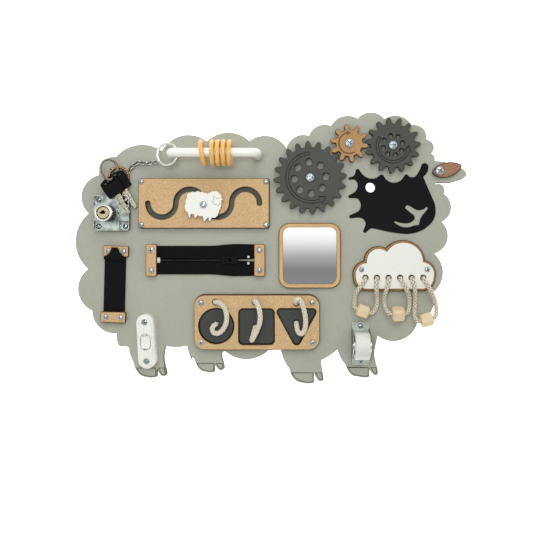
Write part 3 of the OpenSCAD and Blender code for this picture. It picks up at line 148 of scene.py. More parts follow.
def joined(name, pieces):
    """One object from several, in the order given, with their flat faces kept flat."""
    verts, faces, smooth, burn, start = [], [], [], [], 0
    for piece in pieces:
        mesh = piece.data
        count = len(mesh.vertices)
        co = np.empty(count * 3)
        mesh.vertices.foreach_get("co", co)
        verts.append(co.reshape(-1, 3))
        faces += [[v + start for v in face.vertices] for face in mesh.polygons]
        smooth += [face.use_smooth for face in mesh.polygons]
        if "burn" in mesh.attributes:
            burn.append(np.empty(count))
            mesh.attributes["burn"].data.foreach_get("value", burn[-1])
        start += count
        bpy.data.objects.remove(piece)
    whole = solid(name, np.concatenate(verts), faces, SHARP, smooth)
    if burn:
        mark(whole, "burn", np.concatenate(burn))
    return whole


def smooth_path(points, count, closed=False, even=0):
    """count points on a curve through the given ones: each span is Catmull-Rom's cubic.

    even is how often each point is then drawn to the mean of its neighbours.
    """
    p = np.asarray(points, float)
    if closed:
        p = np.concatenate([p[-1:], p, p[:2]])
    else:
        p = np.concatenate([2 * p[:1] - p[1:2], p, 2 * p[-1:] - p[-2:-1]])
    spans = len(p) - 3
    t = np.linspace(0, spans, 20 * spans + 1)
    k = np.minimum(t.astype(int), spans - 1)
    f = (t - k)[:, None]
    a, b, c, d = p[k], p[k + 1], p[k + 2], p[k + 3]
    fine = 0.5 * (2 * b + (c - a) * f + (2 * a - 5 * b + 4 * c - d) * f ** 2
                  + (3 * b - a - 3 * c + d) * f ** 3)
    run = travelled(fine)
    at = np.linspace(0, run[-1], count, endpoint=not closed)
    path = np.stack([np.interp(at, run, fine[:, x]) for x in range(3)], -1)
    for _ in range(even):
        path[1:-1] = (path[:-2] + 2 * path[1:-1] + path[2:]) / 4
    return path


def tube(name, path, section, closed=False, start=(0.31, 0.17, 1), sharp=None):
    """Tube: path(s) + u(s, a) * normal + v(s, a) * binormal, for a section of (u, v) points.

    The normal first points towards start and is carried along without twist.
    """
    ahead = np.roll(path, -1, 0) - np.roll(path, 1, 0) if closed else np.gradient(path, axis=0)
    tangent = unit(ahead)
    normal = np.empty_like(path)
    carried = np.array(start, float)
    for i, t in enumerate(tangent):
        carried = unit(carried - t * (carried @ t))
        normal[i] = carried
    section = np.broadcast_to(section, (len(path),) + np.shape(section)[-2:])
    points = (path[:, None] + section[..., :1] * normal[:, None]
              + section[..., 1:] * np.cross(tangent, normal)[:, None])
    return skin(name, points, closed, not closed, sharp)


def oval(u, v=None, sides=12, power=2.0):
    """Section of half widths u and v: |x/u|^power + |y/v|^power = 1, a circle at power 2."""
    x, y = np.cos(round_angles(sides)), np.sin(round_angles(sides))
    return np.stack([u * np.sign(x) * abs(x) ** (2 / power),
                     (v or u) * np.sign(y) * abs(y) ** (2 / power)], -1)


def hoop(name, centre, radius, turn, section, count=96):
    """Closed tube along centre + radius * (cos a * u + sin a * v), in mm, for the turn's u and v."""
    u, v, w = turn.T
    a = round_angles(count)[:, None]
    path = np.array(centre) + radius * (np.cos(a) * u + np.sin(a) * v)
    return tube(name, path * MM, section, True, w)


def turned(profile, a):
    """Surface of revolution about z: each (radius, height) of the profile at the angles a."""
    r, h = np.asarray(profile, float).T[:, :, None]
    return np.stack(np.broadcast_arrays(r * np.cos(a), r * np.sin(a), h), -1)


def rounded_profile(corners, radius, steps):
    """Profile through (radius, height) corners, each inner one rounded by a quadratic curve.

    At corner b it runs (1 - t)^2 * u + 2 t (1 - t) * b + t^2 * v, from u to v on its two sides.
    """
    p = np.asarray(corners, float)
    out = [p[:1]]
    for a, b, c in zip(p[:-2], p[1:-1], p[2:]):
        la, lc = np.linalg.norm(a - b), np.linalg.norm(c - b)
        cut = min(radius, la / 2, lc / 2)
        u, v = b + (a - b) / la * cut, b + (c - b) / lc * cut
        t = np.linspace(0, 1, steps)[:, None]
        out.append((1 - t) ** 2 * u + 2 * t * (1 - t) * b + t ** 2 * v)
    out.append(p[-1:])
    return np.concatenate(out)


def welded(node):
    """The solid of a node as a bmesh, with the points of its triangles joined."""
    work = bmesh.new()
    work.from_mesh(frame["nodes"][node].data)
    bmesh.ops.remove_doubles(work, verts=work.verts, dist=2e-6)
    return work


def dressed(node, rounding, steps=2, weigh=None):
    """Copy of a solid with its triangles joined into flat faces, and its outer edges rounded.

    Only edges that stick out are rounded, so that engraved floors stay sharp. weigh gives the
    share of the rounding that an edge at a point takes.
    """
    corner = math.radians(30)
    mesh = bpy.data.meshes.new(node + "_looks")
    work = welded(node)
    bmesh.ops.dissolve_degenerate(work, dist=1e-6, edges=work.edges)
    bmesh.ops.dissolve_limit(work, angle_limit=math.radians(1.5), verts=work.verts,
                             edges=work.edges)
    share = work.edges.layers.float.new("bevel_weight_edge")
    for edge in work.edges:
        turn = edge.calc_face_angle_signed(0)
        edge.smooth = abs(turn) < corner
        if turn > corner:
            edge[share] = weigh((edge.verts[0].co + edge.verts[1].co) / 2) if weigh else 1.0
    for face in work.faces:
        face.smooth = True
    work.to_mesh(mesh)
    work.free()
    piece = placed(node + "_looks", mesh)
    bevel = piece.modifiers.new("Bevel", "BEVEL")
    bevel.width, bevel.segments = rounding, steps
    bevel.limit_method = "WEIGHT"
    bevel.use_clamp_overlap = False
    return piece


def islands(node):
    """Lowest and highest corner of each loose part of a solid."""
    work = welded(node)
    found, seen = [], set()
    for vert in work.verts:
        if vert in seen:
            continue
        seen.add(vert)
        part, fresh = [], [vert]
        while fresh:
            part.append(fresh.pop())
            ends = {end for link in part[-1].link_edges for end in link.verts} - seen
            seen |= ends
            fresh += ends
        co = np.array([v.co for v in part])
        found.append((co.min(0), co.max(0)))
    work.free()
    return found


def fit(piece, finish, *nodes, body=None, slot=None):
    """Puts the finish on, stands the piece for its solids and lets it ride on their body."""
    piece.data.materials.clear()
    piece.data.materials.append(finish)
    if nodes:
        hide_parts(*nodes)
    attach(piece, body or body_of_node[nodes[0]])
    return piece


def second_finish(piece, finish, has_it):
    """Another finish on the faces whose centres it holds for."""
    piece.data.materials.append(finish)
    for face in piece.data.polygons:
        face.material_index = int(has_it(face.center))


# ---- Flat outlines, in millimetres ----
def left_of(ahead):
    """Unit vectors to the left of the given ones."""
    return unit(np.stack([-ahead[:, 1], ahead[:, 0]], -1))


def arcs(edge, step=3.0):
    """Closed outline through (x, y, bulge) points; bulge is the rise of the arc to the next one.

    For chord c and bulge h the arc's radius is (c^2 / 4 + h^2) / 2h. step is degrees to a side.
    """
    out = []
    for (x, y, h), (x2, y2, _) in zip(edge, edge[1:] + edge[:1]):
        a, b = np.array((x, y)), np.array((x2, y2))
        c = np.linalg.norm(b - a)
        if abs(h) < 0.01:
            out.append(a[None])
            continue
        r = (c * c / 4 + h * h) / (2 * h)
        left = np.array((a[1] - b[1], b[0] - a[0])) / c
        centre = (a + b) / 2 + left * (h - r)
        start = math.atan2(*(a - centre)[::-1])
        half = math.atan2(c / 2, abs(r) - abs(h))
        t = start - math.copysign(2 * half, h) * np.arange(
            0, 1, 1 / max(2, math.ceil(math.degrees(2 * half) / step)))
        out.append(centre + abs(r) * np.stack([np.cos(t), np.sin(t)], -1))
    return np.concatenate(out)


def circle(x, y, r, n=72):
    """Circle about (x, y)."""
    t = round_angles(n)
    return np.stack([x + r * np.cos(t), y + r * np.sin(t)], -1)


def spun(points, x, y, turn=0.0):
    """Outline turned by some degrees about the origin and moved to (x, y)."""
    return (x, y) + np.asarray(points, float) @ rotation("z", turn)[:2, :2].T


def round_box(x, y, long, wide, r, turn=0.0):
    """Rectangle with round corners about (x, y), turned by some degrees."""
    t = np.linspace(0, np.pi / 2, 10)
    corner = r * np.stack([np.cos(t), np.sin(t)], -1)
    rows = [spun(corner, sx * (long / 2 - r), sy * (wide / 2 - r), 90 * k)
            for k, (sx, sy) in enumerate(((1, 1), (-1, 1), (-1, -1), (1, -1)))]
    return spun(np.concatenate(rows), x, y, turn)


def inset(loop, d):
    """Outline moved by d towards its left: each corner goes along its mean normal, d / cos deep."""
    before = loop - np.roll(loop, 1, 0)
    coming, going = left_of(before), left_of(np.roll(before, -1, 0))
    mean = coming + going
    mean /= np.maximum(np.linalg.norm(mean, axis=1, keepdims=True), 1e-9)
    return loop + d * mean / np.maximum(0.45, (mean * going).sum(1))[:, None]


def winds(points, loops):
    """How many of the loops go round each point, by counting the edges a ray to +x crosses."""
    px, py = np.atleast_2d(points).T[:, :, None]
    count = np.zeros(len(px), int)
    for loop in loops:
        (x, y), (x2, y2) = loop.T, np.roll(loop, -1, 0).T
        over = (y > py) != (y2 > py)
        with np.errstate(divide="ignore", invalid="ignore"):
            right = x + (py - y) / (y2 - y) * (x2 - x) > px
        count += (over & right).sum(1) % 2
    return count


def flat_fill(loops, ids, up):
    """Triangles over the area between the loops, as rows of the ids that the loops' points have."""
    starts = np.cumsum([0] + [len(loop) for loop in loops])
    edges = np.concatenate([np.stack([np.arange(a, b), np.roll(np.arange(a, b), -1)], -1)
                            for a, b in zip(starts[:-1], starts[1:])])
    out, _, tris, origin, _, _ = delaunay_2d_cdt(
        [Vector(p) for p in np.concatenate(loops)], edges.tolist(), [], 0, 1e-7)
    out, tris, ids = np.array(out), np.array(tris), np.concatenate(ids)
    place = np.array([ids[o[0]] if len(o) else -1 for o in origin])
    a, b, c = out[tris].transpose(1, 0, 2)
    ccw = (b - a)[:, 0] * (c - a)[:, 1] - (b - a)[:, 1] * (c - a)[:, 0] > 0
    tris = np.where((ccw == up)[:, None], tris, tris[:, ::-1])
    kept = place[tris[winds((a + b + c) / 3, loops) % 2 == 1]]
    return kept[(kept >= 0).all(1)]


def plate(name, loops, low, high, soft=0.3, grooves=(), under=(), band=0.0):
    """Sheet between two heights, cut out along loops, with eased edges and engraved grooves.

    The wall of each loop runs (offset, z) = soft * (1 - sin t, cos t - 1) round the upper edge,
    straight down, and round the lower edge the same way. grooves and under are (loops, depth)
    sunk in the upper and lower face. Heights and depths are in millimetres. The attribute burn
    is 1 on the walls and falls to 0 over the band, the scorched strip on top along each loop.
    """
    verts, quads, flats, burn, count = [], [], [], [], 0
    caps = {1: ([], []), -1: ([], [])}

    def facing(loop, others):
        """The loop, run so that its material lies to its left."""
        area = (loop[:, 0] * np.roll(loop[:, 1], -1) - loop[:, 1] * np.roll(loop[:, 0], -1)).sum()
        solid_inside = winds(loop[0], [o for o in others if o is not loop])[0] % 2 == 0
        return loop if (area > 0) == solid_inside else loop[::-1]

    def wall(loop, offsets, heights, *held):
        """Rows of quads down a loop; held gets the first row and the last where it is given."""
        nonlocal count
        n = len(loop)
        rows = [np.column_stack([inset(loop, d), np.full(n, z)]) for d, z in zip(offsets, heights)]
        ids = count + np.arange(len(rows) * n).reshape(len(rows), n)
        verts.extend(rows)
        burn.append(np.repeat([0] + [1] * (len(rows) - 2) + [0], n))
        count += ids.size
        quads.append(np.stack([ids[:-1], ids[1:], np.roll(ids[1:], -1, 1),
                               np.roll(ids[:-1], -1, 1)], -1).reshape(-1, 4))
        for (edges, numbers), k in zip(held, (0, -1)):
            edges.append(rows[k][:, :2])
            numbers.append(ids[k])

    t = np.linspace(0, np.pi / 2, 3)
    d, drop = soft * (1 - np.sin(t)), soft * (1 - np.cos(t))
    strip = [soft + band] if band else []
    for loop in loops:
        wall(facing(loop, loops), np.concatenate([strip, d, d[::-1]]),
             np.concatenate([[high] * len(strip), high - drop, low + drop[::-1]]), caps[1], caps[-1])
    ease = min(soft / 2, 0.12)
    for side, group, edge in ((1, grooves, high), (-1, under, low)):
        sunk = [loop for cuts, _ in group for loop in cuts]
        for cuts, depth in group:
            floor = ([], [])
            for loop in cuts:
                wall(facing(loop, list(loops) + sunk)[::side],
                     side * np.array([ease, ease * 0.3, 0, 0]),
                     edge - side * np.array([0, ease * 0.3, ease, depth]), caps[side], floor)
            flats.append(flat_fill(*floor, side > 0))
        flats.append(flat_fill(*caps[side], side > 0))
    walls, flats = np.concatenate(quads).tolist(), np.concatenate(flats).tolist()
    piece = solid(name, np.concatenate(verts) * MM, walls + flats, SHARP,
                  [True] * len(walls) + [False] * len(flats))
    if band:
        mark(piece, "burn", np.concatenate(burn))
    return piece


# ---- The flat pieces' outlines ----
board_edge = [
    (131, 149.5, 7.2), (162.5, 142.5, 6.5), (179.5, 125.5, 5.8), (185, 109.5, 2),
    # ear cut in one with the board
    (189, 101, 0.3), (203, 99.3, 0.8), (221, 92, 0.8), (226.5, 85.5, 1.2), (218, 78.5, 0.9),
    (200, 75.5, 0), (192, 76, -0.8),
    # throat and chest
    (190, 73.5, 5.4), (199.5, 63, 10), (197, 30.5, 11.5), (188.5, -6.5, 10.5), (188, -51, 8),
    (169, -87.5, 12.8),
    # first leg
    (123, -101.5, 0), (119, -121, -0.6), (123, -139.5, 0), (123.5, -146, 1.5), (118, -146.5, 0.6),
    (113.5, -140, -0.3), (113.5, -149.5, 1), (100.5, -149, 1.6), (90, -144, 0.4), (85.5, -134.5, 0),
    (81.5, -130, 0.6), (77, -117, 1),
    # second leg
    (57.5, -130, -0.3), (59, -141.5, 0), (60.5, -153, 1.4), (54, -153.5, 0.6), (49.5, -144.5, -0.3),
    (49.5, -156, 1), (37.5, -156.5, 1.6), (25, -150.5, 0.5), (20.5, -139.5, 0.6), (14, -128.5, 1),
    (11, -112.5, 0),
    # belly
    (7.5, -108, 4), (-3.5, -118.5, 10),
    # third leg
    (-54, -119.5, -0.8), (-58, -124, -0.3), (-56.5, -131, 0), (-54.5, -139.5, 1.2),
    (-60.5, -141.5, 0.6), (-65.5, -134.5, -0.3), (-66, -143.5, 0.8), (-76, -143.5, 1.5),
    (-85.5, -138, 0.5), (-89.5, -128.5, 0.4), (-91, -126.5, -0.3), (-93, -129, 0.6),
    (-97.5, -114.5, -0.5), (-100, -113.5, 1.4),
    # fourth leg
    (-122.5, -113.5, -1.5), (-124.5, -134, 0), (-121.5, -147, 1.4), (-128, -148, 0.6),
    (-132.5, -140, -0.3), (-133, -149.5, 1), (-146, -149.5, 1.5), (-155.5, -143.5, 0.8),
    (-159.5, -134.5, 0), (-164, -123.5, 0.4), (-165, -115.5, 0.5), (-167.5, -114, 0),
    (-173.5, -114, 1.5), (-178.5, -109.5, 0.8),
    # tail end
    (-179.5, -99, 8.5), (-208, -72.5, 14), (-212.5, -24.5, 15), (-212, 40, 14), (-200, 84.5, 7.8),
    # back
    (-180.5, 105.5, 10.5), (-127, 112.5, 12.5), (-75, 123.5, 10), (-25.5, 124, 10),
    (17.5, 115.5, 6.8), (43.5, 130, 6.2), (69, 141.5, 7), (100, 150, 7.5)]
hooves = [
    [(-156.4, -139.2), (-134.4, -139.2), (-134.4, -148.4), (-140, -149.1), (-145.8, -148.2),
     (-150.8, -146.2), (-154.5, -142.6)],
    [(-130.7, -139.2), (-124.7, -139.2), (-122.9, -146.3), (-127.2, -146.9)],
    [(-86.3, -133.8), (-67.2, -133.8), (-67.2, -142.5), (-71.5, -143.1), (-75.8, -142.4),
     (-80.5, -140.7), (-84.3, -137.4)],
    [(-63.9, -133.8), (-57.2, -133.8), (-55.9, -138.9), (-59.8, -140.2)],
    [(23.4, -144.9), (48.2, -144.9), (48.2, -155), (43.5, -155.9), (38, -155.2), (31.3, -153.4),
     (26.3, -149.7)],
    [(51.3, -144.9), (58.2, -144.9), (59.1, -152.2), (55.3, -152.5)],
    [(88.3, -138.8), (112.2, -138.8), (112.2, -148.3), (107, -149), (101, -147.8), (95.5, -146.6),
     (91.3, -143.2)],
    [(115.2, -138.8), (121.2, -138.8), (121.8, -145.2), (119.2, -145.5)]]
face_edge = [
    (97.4, 89.4, 1.9), (102.2, 89.9, -0.8), (109.7, 82.1, -2.6), (125.2, 83.9, 1.1), (130.2, 83.6, -0.4),
    (133.2, 79.1, -2.6), (148.7, 77.6, -0.6), (154.2, 84.2, 0.9), (157.7, 84.6, -1.9),
    (167, 83.1, -0.9), (174, 96.6, 3.5), (181.8, 92.9, 1.1), (177, 83.6, -0.5),
    (176.4, 80.9, 0), (186.5, 57.6, 1), (190.2, 42.4, 1.3), (185, 28.6, 0.9), (171.5, 19.2, 0.8),
    (155.6, 16.2, 0.4), (134.6, 19, 0), (116.2, 22.9, -0.4), (110.2, 18.7, 1.4), (106.2, 19.4, -0.1),
    (109.1, 27.4, -1.8), (102.6, 35.1, -0.3), (92, 34.4, 1.9), (91.8, 38.4, 0), (99.1, 41.6, -1.2),
    (103.4, 49.4, -1.6), (98.2, 57.8, 0), (91.2, 57.8, 1.8), (90.6, 61.4, -0.3), (97.1, 65.6, -0.8),
    (99.9, 72.9, -1.4), (95.1, 79.4, 0), (91.2, 79.1, 1.4), (90, 81.8, 0), (93.6, 82.6, -1.2)]
mouth_edge = [
    (155.2, 45.8, 1.9), (159.2, 48.9, 0.3), (165.2, 45.5, -1.3), (175.7, 44.7, -0.2),
    (179.5, 47.7, 0.9), (180.7, 45, 0), (176.2, 39.5, -0.3), (172.7, 34, -0.3),
    (170.9, 26.6, 0), (165.5, 26.2, -0.2), (161.6, 24.6, 0.8), (150.6, 24.8, 0.5),
    (142.2, 29.8, 0.6), (143.2, 31, -0.5), (155.1, 28.5, -1.3), (165.5, 33, -1.3),
    (163.5, 39, 0)]
sheep_edge = [
    (-18.5, 8.5, 1.8), (-15, 13.5, 1.2), (-9.5, 14, 1.2), (-3.5, 14.5, 0.8), (0.5, 13.5, 0.8),
    (4.5, 12, 0.8), (7.5, 13.5, 1), (12.5, 15.2, 1.4), (18.5, 12.5, 1.2), (20.5, 8, 0),
    (23, 5.8, 0.5), (20, 5, 0.6), (20.5, 1, 0.7), (19.5, -3, 0.7), (18, -6.5, 0.7),
    (16.5, -10.5, 0.8), (15, -13.5, 1.2), (10, -14.2, 0), (8, -18.5, 0.6), (6.8, -18.5, 0),
    (5.5, -14.2, 0), (2, -18.5, 0.6), (0.8, -18.5, 0), (-0.8, -12.8, 1), (-6.5, -12, 0),
    (-8.5, -15, 0.5), (-9.6, -15, 0), (-11, -10.8, 0), (-14, -10.5, 0), (-15.2, -14.5, 0.5),
    (-16.4, -14.3, 0), (-18, -8.5, 0.8), (-20.8, -5, 1), (-20.2, 1, 1)]
sheep_face = [(20.4, 8.3), (18.8, 7), (17.2, 7.8), (15.4, 7), (13.7, 7.8), (12.8, 9.5), (11, 9),
              (12.1, 6.8), (11, 5.4), (11.4, 3.7), (9.9, 2.8), (11.4, 1.4), (12.5, 0.1),
              (14.6, 0.3), (16.5, -0.7), (18.3, -0.2), (19.7, 1.4), (18, 2.5)]
ear_edge = [(-7.9, 0.8, 1.9), (4.3, 6.7, 2.4), (25, 0.8, 0.6), (26.3, -2, 0.5), (23.5, -4.9, 2.3),
            (3.8, -9.3, 0.8), (-5.6, -4.4, 0.7)]
EYE = circle(114.8, 70.2, 5.75)
GEARS = {"large": (44.4242, 80.8999), "small": (89.5, 120.5), "medium": (139.4360, 117.9702)}
EAR = (193.7, 89)
DISC, SQUARE = (-63.2, -89.5), (-17, -90.2)
MAZE, SLIDER = (-77.6, 51.5), (-77.4807, 49.5501)
MIRROR, CLOUD = (44.2, -8.8), (143.0, -33.0)
LOCK, BARREL = (-184.2, 40.3), (-187.7, 39.8)
FEET_X, HANDLE_Y = (-111.7, -15.7), 106.4
ZIP_Y, OPEN_X = -14.0, -46.6    # the zip's middle line, and where its open part starts
CORD_HOLE = 3.5                 # radius


def gear_edge(teeth, phase):
    """Toothed outline of module 4: involute flanks at 25 degrees, rounded tips, filleted roots.

    Half a tooth at radius r spans 5.1 / pitch * 90 / pi + inv(25) - inv(acos(base / r)) degrees,
    for inv(a) = tan a - a.
    """
    pitch = 4.0 * teeth / 2
    base = pitch * math.cos(math.radians(25))
    low, top = pitch - 4.8, pitch + 2.3

    def involute(a):
        return math.degrees(math.tan(math.radians(a))) - a

    def half(r):
        return (5.1 / pitch * 90 / math.pi + involute(25)
                - involute(math.degrees(math.acos(base / max(r, base)))))

    foot = half(low)
    flank = [(low, foot + 60 / low), (low + 0.1, foot + 40 / low), (low + 0.4, foot + 20 / low),
             (low + 1.2, foot)]
    flank += [(r, half(r)) for r in np.linspace((low + top) / 2, top - 2.2, 4)]
    flank += [(top - 1.1, 0.9 * half(top - 1.1)), (top - 0.6, 0.72 * half(top - 0.6)),
              (top - 0.25, 0.5 * half(top))]
    flank = np.array(flank)
    r, a = np.concatenate([flank * (1, -1), [(top, 0)], flank[::-1]]).T
    a = np.radians(phase + 360 * np.arange(teeth)[:, None] / teeth + a)
    return np.stack([r * np.cos(a), r * np.sin(a)], -1).reshape(-1, 2)


def arrow_edge(r, w, a, b, head_w, head_l):
    """Curved arrow: a band of width w on radius r from angle a, with its head's tip at angle b."""
    neck = b - math.copysign(1, b - a) * math.degrees(head_l / r)
    t = np.radians(np.linspace(a, neck, 60))
    out = np.stack([np.cos(t), np.sin(t)], -1)
    tip = math.radians(b)
    head = [(r + head_w / 2) * out[-1], (r * math.cos(tip), r * math.sin(tip)),
            (r - head_w / 2) * out[-1]]
    return np.concatenate([(r + w / 2) * out, head, (r - w / 2) * out[::-1]])


def arrow_line(r, w, a, b, head_w, head_l):
    """The two outlines, one in the other, of an arrow drawn as a line 0.7 mm wide."""
    line = 0.7
    turn = math.copysign(line / r, b - a)
    return [arrow_edge(r, w + line, a, b + 80 * turn, head_w + 2.4 * line, head_l + 1.6 * line),
            arrow_edge(r, w - line, a + 60 * turn, b - 80 * turn, head_w - 2.4 * line,
                       head_l - 1.6 * line)]


def bands(points, w, ends=0):
    """Outline round a line of width w: left side out, right side back, and points round each end."""
    ahead = np.gradient(points, axis=0)
    left, ahead = left_of(ahead) * w / 2, unit(ahead) * w / 2
    a = np.linspace(0, np.pi, ends + 2)[1:-1, None]
    return np.concatenate([points + left, points[-1] + np.cos(a) * left[-1] + np.sin(a) * ahead[-1],
                           (points - left)[::-1],
                           points[0] - np.cos(a) * left[0] - np.sin(a) * ahead[0]])


def slot_edge(x, y, r, w):
    """Outline of the maze's slot: four half circles of radius r, bent down and up by turns."""
    t = np.linspace(0, np.pi, 41)[:-1]
    line = [(x + (2 * k - 3) * r - r * np.cos(t), y + (-1) ** (k + 1) * r * np.sin(t))
            for k in range(4)]
    line = np.concatenate([np.stack(part, -1) for part in line] + [[(x + 4 * r, y)]])
    return bands(line, w, 14)


def cloud_edge(grow):
    """Union of the lobes' circles and the cloud's base, read as the farthest hit on each ray."""
    lobes = [(123.6, -14.8, 13.9), (151.8, -16.2, 22.4), (110, -30.6, 13.3), (173.3, -30, 13.6),
             (110, -33.8, 13), (173.3, -33.8, 13)]
    base_x, base_y, half_base = 141.65, -46.8, 31.65
    ray = circle(0, 0, 1, 720)
    far = np.zeros(len(ray))
    for x, y, r in lobes:
        to = np.array((x, y)) - CLOUD
        along = ray @ to
        reach = (r + grow) ** 2 - (to @ to - along ** 2)
        far = np.maximum(far, np.where(reach > 0, along + np.sqrt(np.maximum(reach, 0)), 0))
    with np.errstate(divide="ignore"):
        floor = np.where(ray[:, 1] < 0, (base_y - grow - CLOUD[1]) / ray[:, 1], 0)
    flat = (floor > 0) & (abs(CLOUD[0] + floor * ray[:, 0] - base_x) <= half_base)
    return CLOUD + np.where(flat, np.maximum(far, floor), far)[:, None] * ray


# ---- Materials ----
def linear(code):
    """sRGB hex to linear colour: c / 12.92 below 0.04045, else ((c + 0.055) / 1.055) ^ 2.4."""
    c = np.array([int(code[k:k + 2], 16) for k in (1, 3, 5)]) / 255
    c = np.where(c <= 0.04045, c / 12.92, ((c + 0.055) / 1.055) ** 2.4)
    return (*c.tolist(), 1.0)


def add(tree, kind, inputs=(), stops=(), **settings):
    """One node with its settings; inputs are values, sockets or nodes, and stops a ramp's."""
    node = tree.nodes.new("ShaderNode" + kind)
    for key, value in settings.items():
        setattr(node, key, value)
    for key, value in dict(inputs).items():
        if isinstance(value, bpy.types.Node):
            value = value.outputs[0]
        if isinstance(value, bpy.types.NodeSocket):
            tree.links.new(value, node.inputs[key])
        else:
            node.inputs[key].default_value = value
    for k, (place, colour) in enumerate(stops):
        elements = node.color_ramp.elements
        stop = elements[k] if k < len(elements) else elements.new(place)
        stop.position, stop.color = place, colour
    return node


def new_finish(name, **sockets):
    """A new material's tree and shader, with the sockets that are the same all over set on it."""
    material = bpy.data.materials.new(name)
    material.use_nodes = True
    shader = material.node_tree.nodes["Principled BSDF"]
    for key, value in sockets.items():
        shader.inputs[key.replace("_", " ")].default_value = value
    return material, material.node_tree, shader


def finished(material, colour, height, strength, depth):
    """The material with its colour and a bump linked on; depth is the bump's in millimetres."""
    tree = material.node_tree
    shader = tree.nodes["Principled BSDF"]
    bump = add(tree, "Bump", {"Height": height, "Strength": strength, "Distance": depth * MM})
    tree.links.new(colour, shader.inputs["Base Color"])
    tree.links.new(bump.outputs[0], shader.inputs["Normal"])
    return material


def varied(tree, colour, noise, low, high):
    """Colour times a share that goes from low to high with the noise."""
    share = add(tree, "MapRange", {"Value": noise, "From Min": 0.3, "From Max": 0.7, "To Min": low,
                                   "To Max": high})
    return add(tree, "Mix", {0: 1.0, 6: colour, 7: share}, data_type="RGBA",
               blend_type="MULTIPLY").outputs[2]


def upright_dark(tree, where, dark, colour, low, high):
    """Colour that gives way to a dark one from high down to low, shares of the normal's height."""
    facing = add(tree, "SeparateXYZ", {0: where.outputs["Normal"]})
    up = add(tree, "Math", {0: facing.outputs["Z"]}, operation="ABSOLUTE")
    flat = add(tree, "MapRange", {"Value": up, "From Min": low, "From Max": high})
    return add(tree, "Mix", {0: flat, 6: linear(dark), 7: colour}, data_type="RGBA").outputs[2]


def cut_from_sheet(name, light, dark, rim, grain, roughness, mottle=0.0, floor=None,
                   stretch=(1, 1, 1), relief=0.02, rim_depth=0.75, char=None, engraved=None,
                   **sockets):
    """Flat sheet cut by laser: a face that varies from light to dark, and burnt side walls.

    The walls are found by the normal's height, so the burn also runs round the rounded edge.
    grain is the size of the face's flecks in mm, and floor the height of an engraved floor in mm.
    char is the colour of the scorched strip that the mesh's burn attribute marks, and engraved
    that of the engraved floor. On the shape blocks the strip is partly burnt kerf and partly painted
    shade of the gap round them; on the brass plug the walls and the engraved floor are painted shade
    in the keyhole.
    """
    material, tree, _ = new_finish(name, Roughness=roughness, **sockets)
    where = add(tree, "TexCoord")
    spread = add(tree, "Mapping", {"Vector": where.outputs["Object"], "Scale": stretch})
    fleck = add(tree, "TexNoise", {"Vector": spread, "Scale": 1 / (grain * MM), "Detail": 4.0,
                                   "Roughness": 0.65})
    face = add(tree, "ValToRGB", {0: fleck}, stops=((0.32, linear(dark)), (0.62, linear(light))))
    broad = add(tree, "TexNoise", {"Vector": where.outputs["Object"], "Scale": 28.0, "Detail": 2.0})
    colour = varied(tree, face, broad, 1 - mottle, 1 + mottle)
    if char:
        scorch = add(tree, "Attribute", attribute_name="burn")
        reach = add(tree, "Math", {0: fleck, 1: 0.6, 2: scorch.outputs["Fac"]},
                    operation="MULTIPLY_ADD")
        burnt = add(tree, "MapRange", {"Value": reach, "From Min": 0.55, "From Max": 1.05})
        colour = add(tree, "Mix", {0: burnt, 6: colour, 7: linear(char)},
                     data_type="RGBA").outputs[2]
    colour = upright_dark(tree, where, rim, colour, rim_depth - 0.2, rim_depth + 0.2)
    if floor is not None:
        height = add(tree, "SeparateXYZ", {0: where.outputs["Object"]})
        sunk = add(tree, "Math", {0: height.outputs["Z"], 1: floor * MM, 2: 0.12 * MM},
                   operation="COMPARE")
        colour = add(tree, "Mix", {0: sunk, 6: colour, 7: linear(engraved or rim)},
                     data_type="RGBA").outputs[2]
    return finished(material, colour, fleck, 0.5, relief)


def grained(name, light, dark, width, length, roughness, along_x=False):
    """Wood with long grain: noise drawn out along x or y and pushed through a two-colour ramp.

    width and length are those of the grain's streaks, in mm.
    """
    material, tree, _ = new_finish(name, Roughness=roughness)
    where = add(tree, "TexCoord")
    fine, long = 1 / (width * MM), 1 / (length * MM)
    along = add(tree, "Mapping", {"Vector": where.outputs["Object"],
                                  "Scale": (long, fine, fine) if along_x else (fine, long, fine)})
    grain = add(tree, "TexNoise", {"Vector": along, "Scale": 1.0, "Detail": 5.0, "Roughness": 0.6,
                                   "Distortion": 0.3})
    colour = add(tree, "ValToRGB", {0: grain}, stops=((0.35, linear(dark)), (0.62, linear(light))))
    return finished(material, colour.outputs[0], grain, 0.3, 0.04)


def plain(name, colour, roughness, wear_and_glare=0.06, size=2, relief=0.01, flank=None, steep=0.6,
          detail=3.0, **sockets):
    """Even finish with a slight change of colour and gloss: moulded, coated or plated.

    size is that of the change's patches in mm: wear on most finishes, painted reflection on the lock
    plate. flank is a darker colour painted as shade and dark reflection on what is steeper than the
    upright share of its normal, steep.
    """
    material, tree, shader = new_finish(name, **sockets)
    where = add(tree, "TexCoord")
    cloud = add(tree, "TexNoise", {"Vector": where.outputs["Object"], "Scale": 1 / (size * MM),
                                   "Detail": detail})
    tinted = varied(tree, linear(colour), cloud, 1 - wear_and_glare, 1 + wear_and_glare / 2)
    if flank:
        tinted = upright_dark(tree, where, flank, tinted, steep - 0.2, steep + 0.15)
    gloss = add(tree, "MapRange", {"Value": cloud, "From Min": 0.3, "From Max": 0.7,
                                   "To Min": roughness * 0.85, "To Max": roughness * 1.15})
    tree.links.new(gloss.outputs[0], shader.inputs["Roughness"])
    return finished(material, tinted, cloud, 0.3, relief)


